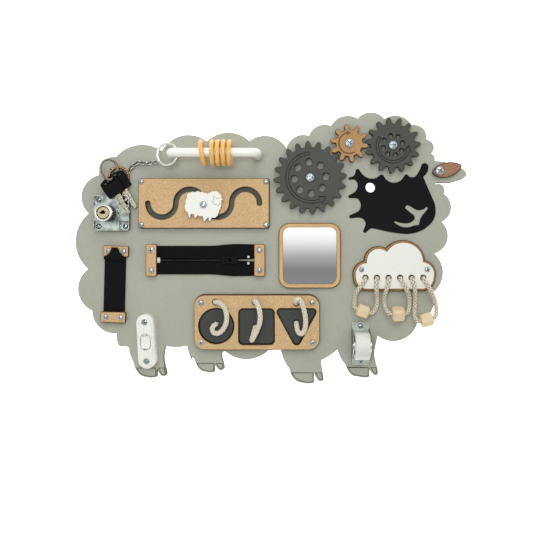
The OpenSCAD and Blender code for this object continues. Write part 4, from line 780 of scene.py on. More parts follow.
def woven(name, colour, dark, pitch):
    """Cloth: warp and weft as two sine bands on the piece's own run, with painted shade between the
    threads.
    """
    material, tree, _ = new_finish(name, Roughness=0.9, Specular_IOR_Level=0.15)
    run = add(tree, "Attribute", attribute_name="run")
    place = add(tree, "SeparateXYZ", {0: run.outputs["Vector"]})
    threads = []
    for side, turn in (("X", 0.0), ("Y", 1.57)):
        angle = add(tree, "Math", {0: place.outputs[side], 1: 2 * math.pi / (pitch * MM), 2: turn},
                    operation="MULTIPLY_ADD")
        threads.append(add(tree, "Math", {0: angle}, operation="SINE"))
    both = add(tree, "Math", dict(enumerate(threads)), operation="MULTIPLY")
    height = add(tree, "MapRange", {"Value": both, "From Min": -1.0, "From Max": 1.0})
    tint = add(tree, "ValToRGB", {0: height}, stops=((0.0, linear(dark)), (1.0, linear(colour))))
    return finished(material, tint.outputs[0], height.outputs[0], 0.6, 0.15)


def cotton_cord(name, light, dark):
    """Braided cotton: matt, fuzzy, with painted shade in the valleys between the strands."""
    material, tree, _ = new_finish(name, Roughness=0.95, Sheen_Weight=0.3, Sheen_Roughness=0.6)
    strand = add(tree, "Attribute", attribute_name="strand")
    where = add(tree, "TexCoord")
    fuzz = add(tree, "TexNoise", {"Vector": where.outputs["Object"], "Scale": 2600.0, "Detail": 3.0})
    mixed = add(tree, "Math", {0: fuzz, 1: 0.35, 2: strand.outputs["Fac"]},
                operation="MULTIPLY_ADD")
    tint = add(tree, "ValToRGB", {0: mixed}, stops=((0.4, linear(dark)), (0.95, linear(light))))
    return finished(material, tint.outputs[0], fuzz, 0.6, 0.15)


# Satin acrylic paint rolled on plywood: even, with a faint roller texture
board_paint = cut_from_sheet("satin_paint_on_plywood", "#aeb0a1", "#a9ab9c", "#0d0c0a", 3, 0.55,
                             mottle=0.02, floor=7.7, relief=0.03, rim_depth=0.5, char="#75725f",
                             engraved="#5b5644")
# Matt black paint in the shape of the face, a little brown where its edge is burnt
face_paint = cut_from_sheet("matt_black_paint", "#101010", "#0c0c0c", "#0b0908", 1.5, 0.8,
                            Specular_IOR_Level=0.2)
# Matt paint on laser-cut board; the teeth's walls and the engraving stay nearly black
gear_paint = cut_from_sheet("matt_paint_on_cut_board", "#4d4f4a", "#484a45", "#15130f", 1.2, 0.8,
                            mottle=0.02, floor=15.6, relief=0.03)
# The shape blocks: the gears' grey paint darkened as painted shade of their sunk place, with a
# near-black strip along their edges that is partly burnt kerf and partly painted shade of the gap round
# them
shaded_shape_paint = cut_from_sheet("grey_paint_darkened_as_painted_shade", "#434542", "#3d3f3d", "#0d0c0b", 1.2, 0.8,
                             mottle=0.02, relief=0.03, char="#0d0c0b")
# Raw fibreboard: mottled tan fibres, walls charred brown
fibreboard = cut_from_sheet("raw_fibreboard", "#dcbc8e", "#b99667", "#3a2617", 1.1, 0.85,
                            mottle=0.03, relief=0.05, char="#8a6238")
mirror_rim_board = cut_from_sheet("fibreboard_frame", "#dcb987", "#c59b68", "#3f2716", 1.1, 0.85,
                                  mottle=0.05, relief=0.05, char="#7a5230")
# Bare and stained plywood: short flecks, with walls burnt nearly black
gear_plywood = cut_from_sheet("bare_plywood_gear", "#bd9562", "#a57d4e", "#21150d", 1.6, 0.75,
                              mottle=0.04, floor=15.7, relief=0.05, char="#8d6236",
                              engraved="#7d5430")
ear_plywood = cut_from_sheet("stained_plywood_ear", "#a97f5f", "#86604a", "#14100d", 1.4, 0.7,
                             mottle=0.1, stretch=(0.4, 1, 1), relief=0.05, char="#4a3022")
# Layers that show only as dark or brown rims under the others
dark_board = cut_from_sheet("charred_dark_board", "#5c5f55", "#4e5148", "#2b2823", 1.5, 0.85,
                            relief=0.03)
cloud_board = cut_from_sheet("charred_brown_board", "#bb8e5b", "#9b7347", "#0f0a07", 1.2, 0.8,
                             mottle=0.06, relief=0.04, char="#382413")
# White paint, smooth on top, over board whose cut walls stay brown
white_paint = cut_from_sheet("white_paint_on_board", "#f1f2e9", "#ecede4", "#5d4a36", 2, 0.5,
                             floor=19.9, relief=0.01, rim_depth=0.55)
# Painted shade under the maze's slot: a dark grey that stands for the board lying in the slot's shadow,
# lighter than the charred walls round it
slot_shade = plain("painted_shade_under_the_maze", "#6f7167", 0.8, wear_and_glare=0.05, size=4)
# Powder coat: smooth, thick and slightly orange-peeled
powder_coat = plain("white_powder_coat", "#f3f4ec", 0.35, wear_and_glare=0.02, size=1.5, relief=0.02)
# Moulded plastics: even colours, glossy in white, waxy in nylon and dull in black
moulded_white = plain("white_moulded_abs", "#f1f2ea", 0.3, wear_and_glare=0.02, size=3, IOR=1.53)
wheel_nylon = plain("off_white_nylon", "#dfe2da", 0.45, wear_and_glare=0.04, size=3, IOR=1.53)
moulded_black = plain("black_moulded_abs", "#050505", 0.55, wear_and_glare=0.1, size=1, relief=0.02,
                      Specular_IOR_Level=0.12)
# Blackened nylon and zinc of the zip: dull enough to vanish against its tape
zip_black = plain("blackened_zip", "#060606", 0.6, wear_and_glare=0.1, size=1, Specular_IOR_Level=0.15)
# Zinc plate is bright with a faint blue haze; its steep flanks carry a painted dark reflection of the
# surroundings
zinc_plate = plain("bright_zinc_plate", "#cfdde1", 0.28, wear_and_glare=0.08, size=1.5, relief=0.002,
                   flank="#35434a", steep=0.62, Metallic=1.0)
# The bracket's yellow-green patches are its passivation; its steep flanges carry painted shade
passivated_zinc = plain("yellow_green_passivated_zinc", "#dfe8db", 0.3, wear_and_glare=0.12, size=5,
                        relief=0.001, flank="#30332e", steep=0.5, Metallic=1.0)
dull_zinc = plain("dull_zinc_plate", "#8f9291", 0.45, wear_and_glare=0.15, size=1.5, Metallic=1.0)
# The lock plate's broad light and dark patches are painted reflections, and its steep walls painted
# shade
lock_zinc = plain("rolled_zinc_lock_plate_with_painted_reflections", "#aeb7b2", 0.24, wear_and_glare=0.5, size=7, relief=0.001,
                  flank="#3d403c", steep=0.6, detail=0.6, Metallic=1.0)
# Nickel is warmer and glossier than zinc, and browner on the aged key ring; the rings' and chain's steep
# sides carry painted shade
bright_nickel = plain("bright_nickel_ring", "#f3f1e8", 0.32, relief=0.001, flank="#a8a294",
                      steep=0.25, Metallic=1.0)
chain_nickel = plain("chain_nickel", "#d2d2c8", 0.2, wear_and_glare=0.2, size=1.5, relief=0.002,
                     flank="#26261f", steep=0.6, Metallic=1.0)
turned_nickel = plain("turned_nickel_barrel", "#e6e6df", 0.2, relief=0.001, Metallic=1.0)
aged_nickel = plain("aged_nickel_wire", "#c4bba6", 0.25, wear_and_glare=0.2, size=1.5, relief=0.002,
                    flank="#5c4f3c", steep=0.6, Metallic=1.0)
# Painted shade on the barrel's ribbed side below its rim: a dark dull colour in place of the plated
# zinc, so that the side hardly shines
barrel_side_shade = plain("painted_shade_on_barrel_side", "#3c3b36", 0.55, wear_and_glare=0.2, Specular_IOR_Level=0.3)
# Milled steel, copper plate and brass: fine scratches and the metal's own tint, with painted shade on
# the copper wire's steep sides and on the walls and floor of the plug's keyhole
key_steel = plain("milled_key_steel", "#a39d88", 0.32, wear_and_glare=0.15, size=0.8, Metallic=1.0)
copper_wire = plain("copper_plated_wire", "#c08f60", 0.3, wear_and_glare=0.25, size=1, flank="#3c2617",
                    steep=0.6, Metallic=1.0)
pale_brass = cut_from_sheet("worn_brass_plug", "#c9bb94", "#a3956f", "#2b261c", 1, 0.34,
                            floor=31.4, relief=0.01, rim_depth=0.6, engraved="#0b0a08",
                            Metallic=1.0)
# Zip stops: metal given an off-white colour that paints in its highlight, with a soft gloss
stop_metal = plain("zip_stop_with_painted_glint", "#d9d7ca", 0.4, wear_and_glare=0.08)
# Mirrored acrylic: one clear reflection
mirror_acrylic, _, mirror_shader = new_finish("acrylic_mirror", Metallic=1.0, Roughness=0.03)
mirror_shader.inputs["Base Color"].default_value = linear("#f0f3f2")
# Birch: yellow and waxed on the rings, pale and sanded on the beads, with long soft streaks
ring_wood = grained("turned_birch", "#f6ca7a", "#e0a856", 1.2, 9, 0.4)
bead_wood = grained("sanded_birch", "#e9d8b2", "#dcc69b", 1.0, 12, 0.55, along_x=True)
# Black cloth: threads that show only as a fine matt grain, with painted shade between them
webbing = woven("black_webbing", "#171717", "#0b0b0b", 1.6)
zip_cloth = woven("black_zip_tape", "#151515", "#0b0b0b", 1.0)
# Cream cotton, braided: soft and matt, with painted shade in the dents between the strands
cotton = cotton_cord("braided_cotton", "#eae1ca", "#85775d")
# The thicker cords are brushed, so that their strands and the painted shade between them hardly show
brushed_cotton = cotton_cord("brushed_cotton", "#e9e0cd", "#c2b8a0")


# ---- Camera, light and floor ----
def studio():
    """A camera straight above, three lamps and a pale floor that glows.

    The key lamp is broad and stands off the sheep's back, the fill is softer and stands off its
    tail, and a small one near the lens gives the board's paint its shine in the middle. The sky
    is bright to +Y and falls off just past straight up, so that the mirror shades from white to
    grey down its height.
    """
    scene = bpy.context.scene
    lens = bpy.data.cameras.new("camera")
    lens.lens, lens.sensor_width = 43.1, 36
    lens.shift_x, lens.shift_y = -0.0385, -0.0555
    camera = bpy.data.objects.new("camera", lens)
    camera.location = (0.018, 0.0128, 0.748)
    scene.collection.objects.link(camera)
    scene.camera = camera
    scene.view_settings.view_transform = "Standard"
    scene.view_settings.look = "None"

    for name, place, size, power in (("key", (0.25, 1.05, 1.35), 0.9, 6.8),
                                     ("fill", (-0.9, -0.3, 1.5), 1.2, 2.0),
                                     ("near", (-0.11, 0.13, 0.8), 0.2, 1.45)):
        light = bpy.data.lights.new(name, "AREA")
        light.shape, light.size, light.energy = "DISK", size, power
        lamp = placed(name, light)
        lamp.location = place
        x, y, z = unit(place)
        lamp.rotation_euler = (math.acos(z), 0, math.atan2(-y, -x) - math.pi / 2)

    world = bpy.data.worlds.new("sky")
    scene.world = world
    world.use_nodes = True
    tree = world.node_tree
    way = add(tree, "TexCoord")
    parts = add(tree, "SeparateXYZ", {0: way.outputs["Generated"]})
    rise = add(tree, "MapRange", {"Value": parts.outputs["Y"], "From Min": -0.4, "From Max": 0.4})
    ramp = add(tree, "ValToRGB", {0: rise},
               stops=[(place, (grey, grey, grey, 1)) for place, grey in (
                   (0, 0.35), (0.25, 0.27), (0.4, 0.2), (0.436, 0.17), (0.464, 0.335),
                   (0.491, 0.655), (0.514, 0.825), (0.57, 0.4), (1, 0.41))])
    back = tree.nodes["Background"]
    tree.links.new(ramp.outputs[0], back.inputs["Color"])
    back.inputs["Strength"].default_value = 1.45

    floor = solid("floor", [(-3, -3, -0.0006), (3, -3, -0.0006), (3, 3, -0.0006), (-3, 3, -0.0006)],
                  [(0, 1, 2, 3)])
    white, _, shader = new_finish("white_paper_floor", Roughness=0.9, Emission_Strength=1.0)
    shader.inputs["Base Color"].default_value = (0.95, 0.95, 0.95, 1)
    shader.inputs["Emission Color"].default_value = (1, 1, 1, 1)
    floor.data.materials.append(white)


studio()


# ---- Cords: braided cotton, knotted behind the boards they come out of ----
def rope(name, route, diameter, finish, node):
    """Braided cord along a smooth path, and what is told of it.

    Two sets of four strands wind round it in opposite ways: r(s, a) = R * (0.8 + 0.2 * h),
    h = |cos(2 (a - t)) cos(2 (a + t))|^0.5, t = 2 pi s / 17 mm.
    """
    points = np.array(route) * MM
    path = smooth_path(points, 230, even=40)
    run = travelled(path)
    a = round_angles(30)
    turn = 2 * np.pi * run[:, None] / (17 * MM)
    lobe = abs(np.cos(2 * (a - turn)) * np.cos(2 * (a + turn))) ** 0.5
    r = diameter / 2 * (0.8 + 0.2 * lobe)
    cord = tube(name, path, np.stack([r * np.cos(a), r * np.sin(a)], -1))
    # strand holds each point's height on its strand, which the finish turns into painted shade in the
    # valleys
    mark(cord, "strand", np.append(lobe, [0.5, 0.5]))
    return fit(cord, finish, node), dict(exit=points[0], length=run[-1], diameter=diameter, path=path,
                                         far_end="object", stiffness="limp", lay="loose")


Z_MOUTH, Z_BEAD, Z_HIGH, Z_PANEL, Z_PIECE = 15.6, 15.85, 17.25, 16.1, 14.4
loop_routes = [
    [(108, -34.2, Z_MOUTH), (107, -36.6, 18.8), (103.6, -41.6, 19), (99.2, -47.6, 18.4),
     (96.6, -54.2, 14), (96, -59.6, 11.6), (95.8, -64.6, 12.6), (96.6, -69.2, Z_BEAD),
     (113.2, -74.8, Z_BEAD), (118, -73.2, 13), (120.8, -69, 11.6), (121.9, -63.4, 11.4),
     (121.8, -57, 13), (120.6, -49.6, 18), (119.8, -42, 19), (120.6, -36.8, 18.8),
     (121.3, -34.2, Z_MOUTH)],
    [(134.6, -34.2, Z_MOUTH), (134.2, -36.8, 18.8), (133, -42.6, 19), (131.2, -49.6, 18.2),
     (130.2, -56.4, 13.4), (130.3, -62.6, 11.4), (131, -68.2, 12), (133, -72.6, 14.2),
     (136.6, -75.2, Z_HIGH), (154, -75, Z_HIGH), (157.4, -72.6, 14.6), (159, -68.2, 12),
     (159.3, -62, 11.4), (158.4, -55.4, 14), (155.6, -48.6, 18.4), (151.2, -41.6, 19),
     (148.6, -36.8, 18.8), (147.8, -34.2, Z_MOUTH)],
    [(161.1, -34.2, Z_MOUTH), (161.6, -36.6, 19), (163.4, -43, 19), (164.8, -49.8, 18.2),
     (165.5, -56.6, 13.4), (165.6, -64, 11.4), (165.1, -71, 11.6), (164.8, -76.8, 12.6),
     (166, -81.6, 14.4), (169.6, -84.4, Z_HIGH), (186.4, -80.2, Z_HIGH), (189.4, -76.4, 14.8),
     (190.2, -70.8, 13), (189.4, -64.4, 12), (187, -57.4, 14), (183.4, -50.4, 18),
     (179.4, -43.4, 19), (175.2, -36.6, 19), (174.4, -34.2, Z_MOUTH)]]
shape_routes = {
    "disc": [(-64.2, -61.9, Z_PANEL), (-63.4, -61.6, 19.4), (-58.6, -62.4, 20.8),
             (-53.6, -67.6, 20.4), (-51, -75.6, 20), (-51.2, -84.4, 19.8), (-54.8, -92.6, 19.2),
             (-61, -97.6, 18.8), (-66.6, -96, 18.4), (-67.4, -91, 18.2), (-64.6, -88, 17.6),
             (-63.3, -87.4, Z_PIECE)],
    "square": [(-18.6, -61.8, Z_PANEL), (-18.9, -60.6, 19.6), (-17.8, -59.8, 23.2),
               (-15.2, -64.2, 26), (-13, -71, 27.2), (-12.2, -79, 27), (-13.8, -87.6, 26.2),
               (-17.4, -96, 25.4), (-20.6, -102.4, 24.8), (-22.4, -104.8, 21.2),
               (-20.8, -100.2, 18.2), (-18.9, -93.2, 17.9), (-18.3, -90.6, Z_PIECE)],
    "triangle": [(28.8, -63, Z_PANEL), (27.6, -61.8, 19.6), (28.4, -58.8, 23),
                 (31.6, -57.8, 24.6), (35, -62.4, 24.2), (37.2, -70, 22.8), (39, -79.4, 21.6),
                 (39, -89, 20.2), (37, -96, 18.8), (33.2, -98.2, 18), (30.2, -94.8, 17.8),
                 (29, -88.4, 17.9), (28.7, -86, Z_PIECE)]}
beads = [((104.9, -72, Z_BEAD), -19, 4), ((145.3, -75.1, Z_HIGH), 1, 28),
         ((178, -82.3, Z_HIGH), 14, -24)]


def cube_bead(name, middle, yaw, roll):
    """Cube bead with soft edges, bored along its cord.

    x runs from face to face; the outline at each x is |y|^4.6 + |z|^4.6 = s(x)^4.6, and s falls
    off near the faces along a superellipse. The bore closes the surface on the inside.
    """
    half, hole, ease = 7.25 * MM, 3.0 * MM, 0.3 * MM
    t = np.linspace(-1, 1, 23)[1:-1, None]
    x = np.sign(t) * abs(np.sin(t * np.pi / 2)) ** 0.75
    s = (1 - abs(x) ** 5) ** (1 / 5)
    c = oval(1.0, sides=48, power=4.6)
    outer = half * np.stack(np.broadcast_arrays(x, s * c[:, 0], s * c[:, 1]), -1)
    ring = circle(0, 0, hole, 48)
    side = [np.insert(ring * (1 + ease / hole) * (1 - f) + outer[-1, :, 1:] * f, 0, half * 0.995, 1)
            for f in (0.75, 0.4, 0.0)]
    side.append(np.insert(ring, 0, half - 0.5 * MM, 1))
    rows = np.concatenate([[row * (-1, 1, 1) for row in side[::-1]], outer, side])
    turn = rotation("z", yaw) @ rotation("x", roll)
    return skin(name, rows @ turn.T + np.array(middle) * MM, round_i=True)


for n, (route, bead) in enumerate(zip(loop_routes, beads), 1):
    loop, told = rope(f"loop_cord_{n}", route, 5.2 * MM, cotton, f"cloud_cord_{n}")
    block = fit(cube_bead(f"wooden_bead_{n}", *bead), bead_wood, f"bead_{n}")
for shape, route in shape_routes.items():
    tie, told = rope(f"{shape}_tie", route, 6 * MM, brushed_cotton, f"{shape}_cord")


# ---- Board and face ----
def cut(name, loops, low, high, finish, node, soft=0.3, **more):
    """A plate that stands for the solid of a node."""
    return fit(plate(name, loops, low, high, soft, **more), finish, node)


hoof_lines = [([inset(np.array(hoof, float), side) for side in (0.4, -0.4)], 0.3) for hoof in hooves]
recesses = [([circle(x, y, 7.55, 48)], 1.2) for x, y in (*GEARS.values(), EAR)]
recesses += [([circle(x, HANDLE_Y, 4.05, 48)], 2.4) for x in FEET_X]
cut("painted_board", [arcs(board_edge), EYE], 0, FACE, board_paint, "base_board",
    grooves=hoof_lines, under=recesses, band=0.25)
cut("black_face", [arcs(face_edge), arcs(mouth_edge), EYE], FACE, 8.8, face_paint, "face_panel", 0.15)

# ---- Gears: phase of the teeth, ring of holes (count, reach, radius, start), arrow and its shift ----
for size, finish, teeth, phase, (count, reach, r, start), arrow, off in (
        ("large", gear_paint, 20, 93.7, (8, 18.2, 4.2, 94.5),
         arrow_line(28, 3.2, 95, 307.5, 9, 7.5), (1.6, 0)),
        ("small", gear_plywood, 10, 134.7, (0, 0, 0, 0),
         [arrow_edge(12, 1.5, -61, -280, 5.6, 5)], (0, 0)),
        ("medium", gear_paint, 15, 3, (8, 11.4, 2.8, 104),
         arrow_line(18.1, 2.8, 145, 361, 8, 6.5), (0.3, -0.8))):
    at = np.array(GEARS[size])
    around = [math.radians(start + 360 * k / count) for k in range(count)]
    holes = [circle(reach * math.cos(a), reach * math.sin(a), r, 48) for a in around]
    cut(f"{size}_gear_wheel", [at + loop for loop in (gear_edge(teeth, phase), *holes)], 10, TOP,
        finish, f"{size}_gear", grooves=[([at + off + loop for loop in arrow], 0.4)],
        band=0.7 if size == "small" else 0.0)
cut("loose_ear", [spun(arcs(ear_edge), *EAR, 17)], FACE + GAP, UNDER + GAP, ear_plywood, "ear_flap",
    band=1.1)

# ---- Maze and its sheep ----
cut("maze_board", [round_box(*MAZE, 150, 57, 3), slot_edge(*MAZE, 16, 5.6)], UNDER, TOP, fibreboard,
    "maze_panel", 0.25, band=0.6)
cut("maze_spacer", [round_box(*MAZE, 151, 58, 3), round_box(*MAZE, 139.2, 46.2, 3)], FACE, UNDER,
    dark_board, "panel_spacers", 0.15)
# A thin sheet of painted shade under the slot, where the board lies in the maze's shadow
fit(plate("maze_slot_shade_sheet", [round_box(*MAZE, 139, 46, 3)], 7.99, 8.15, 0.03), slot_shade,
    body="base", slot=slot_of_node["panel_spacers"])
wool = smooth_path([(x, y, 0) for x, y in sheep_face], 120)[:, :2]
cut("white_sheep", [spun(arcs(sheep_edge, 8), *SLIDER)], TOP + GAP, 20 + GAP, white_paint,
    "sheep_slider", 0.35, grooves=[([spun(bands(wool, 0.6), *SLIDER)], 0.4)])

# ---- Shape panel ----
triangle = arcs([(11.5, -70, 0), (46.5, -70, 2.2), (50.2, -75.5, 0), (32.5, -108.5, 2),
                 (25.5, -108.5, 0), (7.8, -75.5, 2.2)])
shapes = {"disc": circle(*DISC, 19.7), "square": round_box(*SQUARE, 40, 40, 4.5),
          "triangle": triangle}
holes = [circle(*DISC, 20.5), round_box(*SQUARE, 41.6, 41.6, 5.3), inset(triangle, 0.8)]
holes += [circle(*route[0][:2], CORD_HOLE, 36) for route in shape_routes.values()]
cut("shape_board", [round_box(-16.7, -85.4, 144, 62.8, 12.5), *holes], UNDER, TOP, fibreboard,
    "shape_panel", 0.25, band=0.6)
cut("shape_layer", [round_box(-16.7, -84.8, 144.6, 63.4, 12.5), *holes], FACE, UNDER, dark_board,
    "panel_spacers", 0.15)
# The blocks' dark edge strip is partly burnt kerf and partly painted shade of the gap round them
for shape, route in shape_routes.items():
    cut(f"{shape}_block", [shapes[shape], circle(*route[-1][:2], CORD_HOLE, 36)], FACE + GAP,
        14 + GAP, shaded_shape_paint, f"shape_{shape}", band=0.7)

# ---- Mirror ----
cut("mirror_rim", [round_box(*MIRROR, 71.6, 75.2, 12.5)], FACE, UNDER, mirror_rim_board,
    "mirror_frame", 0.4, band=0.9, grooves=[([round_box(*MIRROR, 62, 65.6, 7.7)], 2)])
cut("mirror_acrylic", [round_box(*MIRROR, 61.6, 65.2, 7.5)], 10, UNDER, mirror_acrylic,
    "mirror_sheet", 0.12)

# ---- Cloud ----
cord_holes = [circle(108 + 13.28 * k, -34.2, CORD_HOLE, 36) for k in range(6)]
cut("brown_cloud", [cloud_edge(3), *cord_holes], FACE, UNDER, cloud_board, "cloud_back", band=1.0)
cut("white_cloud", [cloud_edge(0), *cord_holes], UNDER, 15.5, white_paint, "cloud_front", 0.45)

# ---- Clamp bars ----
STRAP = np.array((-181.2, -41.6, 0)) * MM
STRAP_TURN = -1.4
strap_side, strap_way, _ = rotation("z", STRAP_TURN).T


def on_strap(along, height, across=0.0):
    """Point of the strap in metres, from its place along it, its height and its place across."""
    return STRAP + (strap_way * along + strap_side * across + (0, 0, height)) * MM


fit(joined("wooden_clamps", [
    plate(f"clamp_{n}", [round_box(*middle, long, wide, r, turn)], low, low + 4, band=0.8)
    for n, (middle, long, wide, r, turn, low) in enumerate((
        (on_strap(38, 0, 1)[:2] / MM, 29.4, 12.4, 1.6, STRAP_TURN, 9.5),
        (on_strap(-38, 0)[:2] / MM, 29, 12.4, 1.6, STRAP_TURN, 11),
        ((-138.3, ZIP_Y), 12.4, 37, 2, 0, 10.4), ((-13.6, ZIP_Y), 12.4, 37, 2, 0, 10.4)))]),
    fibreboard, "clamp_bars")

# ---- Small hardware: copies of the solids with their outer edges rounded ----
for node, finish, rounding in (
        ("lock_case", lock_zinc, 0.3), ("lock_bolt", dull_zinc, 0.3),
        ("switch_case", moulded_white, 0.6), ("switch_rocker", moulded_white, 1.1),
        ("wheel_bracket", passivated_zinc, 0.35), ("wheel_axle", dull_zinc, 0.3),
        ("pivot_washers", dull_zinc, 0.2), ("pivot_nuts", dull_zinc, 0.2),
        ("handle_screws", dull_zinc, 0.3), ("slider_glide", moulded_black, 0.3),
        ("zip_slider", zip_black, 0.3), ("zip_pull", zip_black, 0.35)):
    fit(dressed(node, rounding * MM), finish, node)


# ---- Screw heads ----
def pan_head(name, centre, head_r, head_h, shank_r, shank_l, drive_r, turn):
    """Pan head with a cross recess, all one surface from its crown to its shank's end.

    Crown: z = h * (1 - 0.5 * (r/R)^3), less the recess: d * (1 - u^2) where u is the distance
    from the cross's arms over half their width.
    """
    a = round_angles(48)
    a = a + 0.03 * np.sin(4 * a)
    r = np.append(np.linspace(0.08, 1.15, 9) * drive_r, [head_r * 0.86, head_r * 0.96])[:, None]
    x, y = r * np.cos(a), r * np.sin(a)
    wide = 0.3 * drive_r * (1 - 0.25 * r / drive_r)
    arm = np.minimum(abs(x), abs(y)) / wide
    end = np.clip((1.08 * drive_r - np.maximum(abs(x), abs(y))) / (0.2 * drive_r), 0, 1)
    depth = 0.62 * head_h * np.clip(1.6 * (1 - arm ** 2), 0, 1) * end
    z = head_h * (1 - 0.5 * (r / head_r) ** 3) - depth
    c, s = math.cos(turn), math.sin(turn)
    crown = np.stack([x * c - y * s, x * s + y * c, z], -1)
    low = turned([(head_r, head_h * 0.36), (head_r, 0.1 * head_h), (head_r * 0.97, 0),
                  (shank_r, 0), (shank_r, -shank_l * 0.85), (shank_r * 0.4, -shank_l)], a)
    return skin(name, np.concatenate([crown, low]) + centre, capped=True, sharp=40)


for name, node, *sizes in (("cross_screws", "panel_screws", 3, 2.2, 1.45, 1.6),
                           ("gear_bolts", "pivot_bolts", 5, 3, 2.5, 2.4),
                           ("sheep_bolt", "slider_bolt", 3.8, 2.4, 2, 1.8)):
    head_r, head_h, shank_r, drive_r = np.array(sizes) * MM
    heads = []
    for n, (low, high) in enumerate(islands(node)):
        centre = np.append((low + high)[:2] / 2, high[2] - head_h)
        heads.append(pan_head(f"{name}_{n}", centre, head_r, head_h, shank_r, centre[2] - low[2],
                              drive_r, 2.4 * n))
    fit(joined(name, heads), zinc_plate, node)

# ---- Handle and wooden rings ----
BAR_Z, BEND, HANDLE_FOOT = 41.0, 7.0, 20.0
RING_Z, RING_R, RING_HALF = 36.35, 12.5, 2.5    # the wooden rings hang on the bar at this height
quarter = np.linspace(0, np.pi / 2, 13)
feet = [(FEET_X[0], HANDLE_Y, z) for z in (FACE, HANDLE_FOOT)]
left = feet + [(FEET_X[0] + BEND * (1 - math.cos(t)), HANDLE_Y, BAR_Z - BEND * (1 - math.sin(t)))
               for t in quarter]
right = [(sum(FEET_X) - x, y, z) for x, y, z in left[::-1]]
fit(tube("bow_handle", np.array(left + right) * MM, oval(5 * MM, sides=40), sharp=50), powder_coat,
    "handle")
for n, (x, lean) in enumerate(zip((-76.1, -64.9, -58.8, -52.4, -46.1), (9, 1.5, 1, 0.5, 0)), 1):
    fit(hoop(f"turned_ring_{n}", (x, HANDLE_Y, RING_Z), RING_R, rotation("z", lean)[:, [1, 2, 0]],
             oval(RING_HALF * MM, sides=20, power=2.3)), ring_wood, f"ring_{n}")


# ---- Split rings, chain and keys ----
def split_ring(name, centre, lean, start, radius, wire):
    """Two flat turns of wire: a helix that steps up by one thickness over a sixth of a turn.

    Its plane is tipped about y by lean degrees, and it starts at start degrees in that plane.
    """
    u, v, w = (rotation("y", lean) @ rotation("z", start)).T
    t = np.linspace(0.02, 3.98 * np.pi, 150)[:, None]
    path = (np.array(centre) + radius * (np.cos(t) * u + np.sin(t) * v)
            + 0.25 * wire * np.tanh((t - 2 * np.pi) / 0.35) * w) * MM
    section = oval(0.245 * wire * MM, wire / 2 * MM, sides=12, power=4)
    return tube(name, path, section, start=w, sharp=50)


fit(split_ring("handle_split_ring", (-117.3, 106, 28), -14, math.degrees(-0.95), 12.1, 2.6),
    bright_nickel, "handle_ring")
fit(split_ring("key_split_ring", (-184.8, 89.7, 20.3), 228, 90, 11.5, 2.4), aged_nickel, "key_ring")


def chain_link(name, a, b, roll):
    """Curb link from a to b: a stadium loop, its ends twisted against each other by 24 degrees."""
    wide, wire = 6.2, 1.5
    a, b = np.array(a), np.array(b)
    long = np.linalg.norm(b - a) + 2 * wire + 0.3
    ahead = unit(b - a)
    side = unit(np.cross(UP, ahead))
    top = np.cross(ahead, side)
    t = round_angles(36)[:, None]
    x = np.cos(t) * (wide - wire) / 2 + np.sign(np.cos(t)) * (long - wide) / 2
    y = np.sin(t) * (wide - wire) / 2
    angle = math.radians(roll) + math.radians(12) * np.sin(np.clip(x / long * 2, -1, 1) * 1.57)
    path = (a + b) / 2 + x * ahead + y * np.cos(angle) * side + y * np.sin(angle) * top
    return tube(name, path * MM, oval(wire / 2 * MM, sides=10), True, top)


chain_route = [(-129.4, 97.6, 22.8), (-133.4, 98, 20.6), (-137.6, 97.4, 18.8), (-142, 96.8, 17.2),
               (-146.2, 97.4, 15.5), (-150.4, 98.4, 13.9), (-154.6, 98, 12.6),
               (-158.5, 96.2, 11.8), (-161.8, 93.4, 11.3), (-164, 90.2, 10.9)]
links = [chain_link(f"link_{n}", a, b, 42 if n % 2 == 0 else -42)
         for n, (a, b) in enumerate(zip(chain_route[:-1], chain_route[1:]))]
# Jump rings, 6.4 mm across and of 1.1 mm wire, join the chain to the three larger rings
for name, centre, yaw, tip in (("link_a", (-127.3, 98.5, 25.2), -140, 62),
                               ("link_b", (-165.8, 88.9, 10.95), 48, 50),
                               ("link_c", (-184.3, 90.3, 10.95), -47, 50)):
    links.append(hoop(name, centre, 2.65, rotation("z", yaw) @ rotation("x", tip),
                      oval(0.55 * MM, sides=10), 48))
fit(joined("curb_chain", links), chain_nickel, "key_chain")

# Ring of 3.2 mm wire rolled into 26 beads: r(s) = 1.6 * (0.6 + 0.4 * |sin(26 s / 2)|^0.6)
BEADS = 26
swell = 0.6 + 0.4 * abs(np.sin(BEADS * round_angles(BEADS * 7) / 2)) ** 0.6
fit(hoop("beaded_ring", (-176.6, 82, 9.7), 11.2, np.eye(3), swell[:, None, None] * oval(1.6 * MM),
         BEADS * 7), copper_wire, body=body_of_node["key_chain"], slot=slot_of_node["key_chain"])

BLADE_FROM = 9.6    # mm from a key's origin, along it: black head before, steel blade after
for node, place, yaw, pitch in (("key_1", (-181.3, 69.1, 16.4), -57, 2),
                                ("key_2", (-174.4, 75.5, 12.7), -59, 4.4)):
    along, origin = (rotation("z", yaw) @ rotation("y", pitch))[:, 0], np.array(place) * MM

    def is_blade(point, along=along, origin=origin):
        return (np.array(point) - origin) @ along > BLADE_FROM * MM

    key = dressed(node, 0.6 * MM, steps=3, weigh=lambda point: 0.25 if is_blade(point) else 1.0)
    second_finish(fit(key, moulded_black, node), key_steel, is_blade)

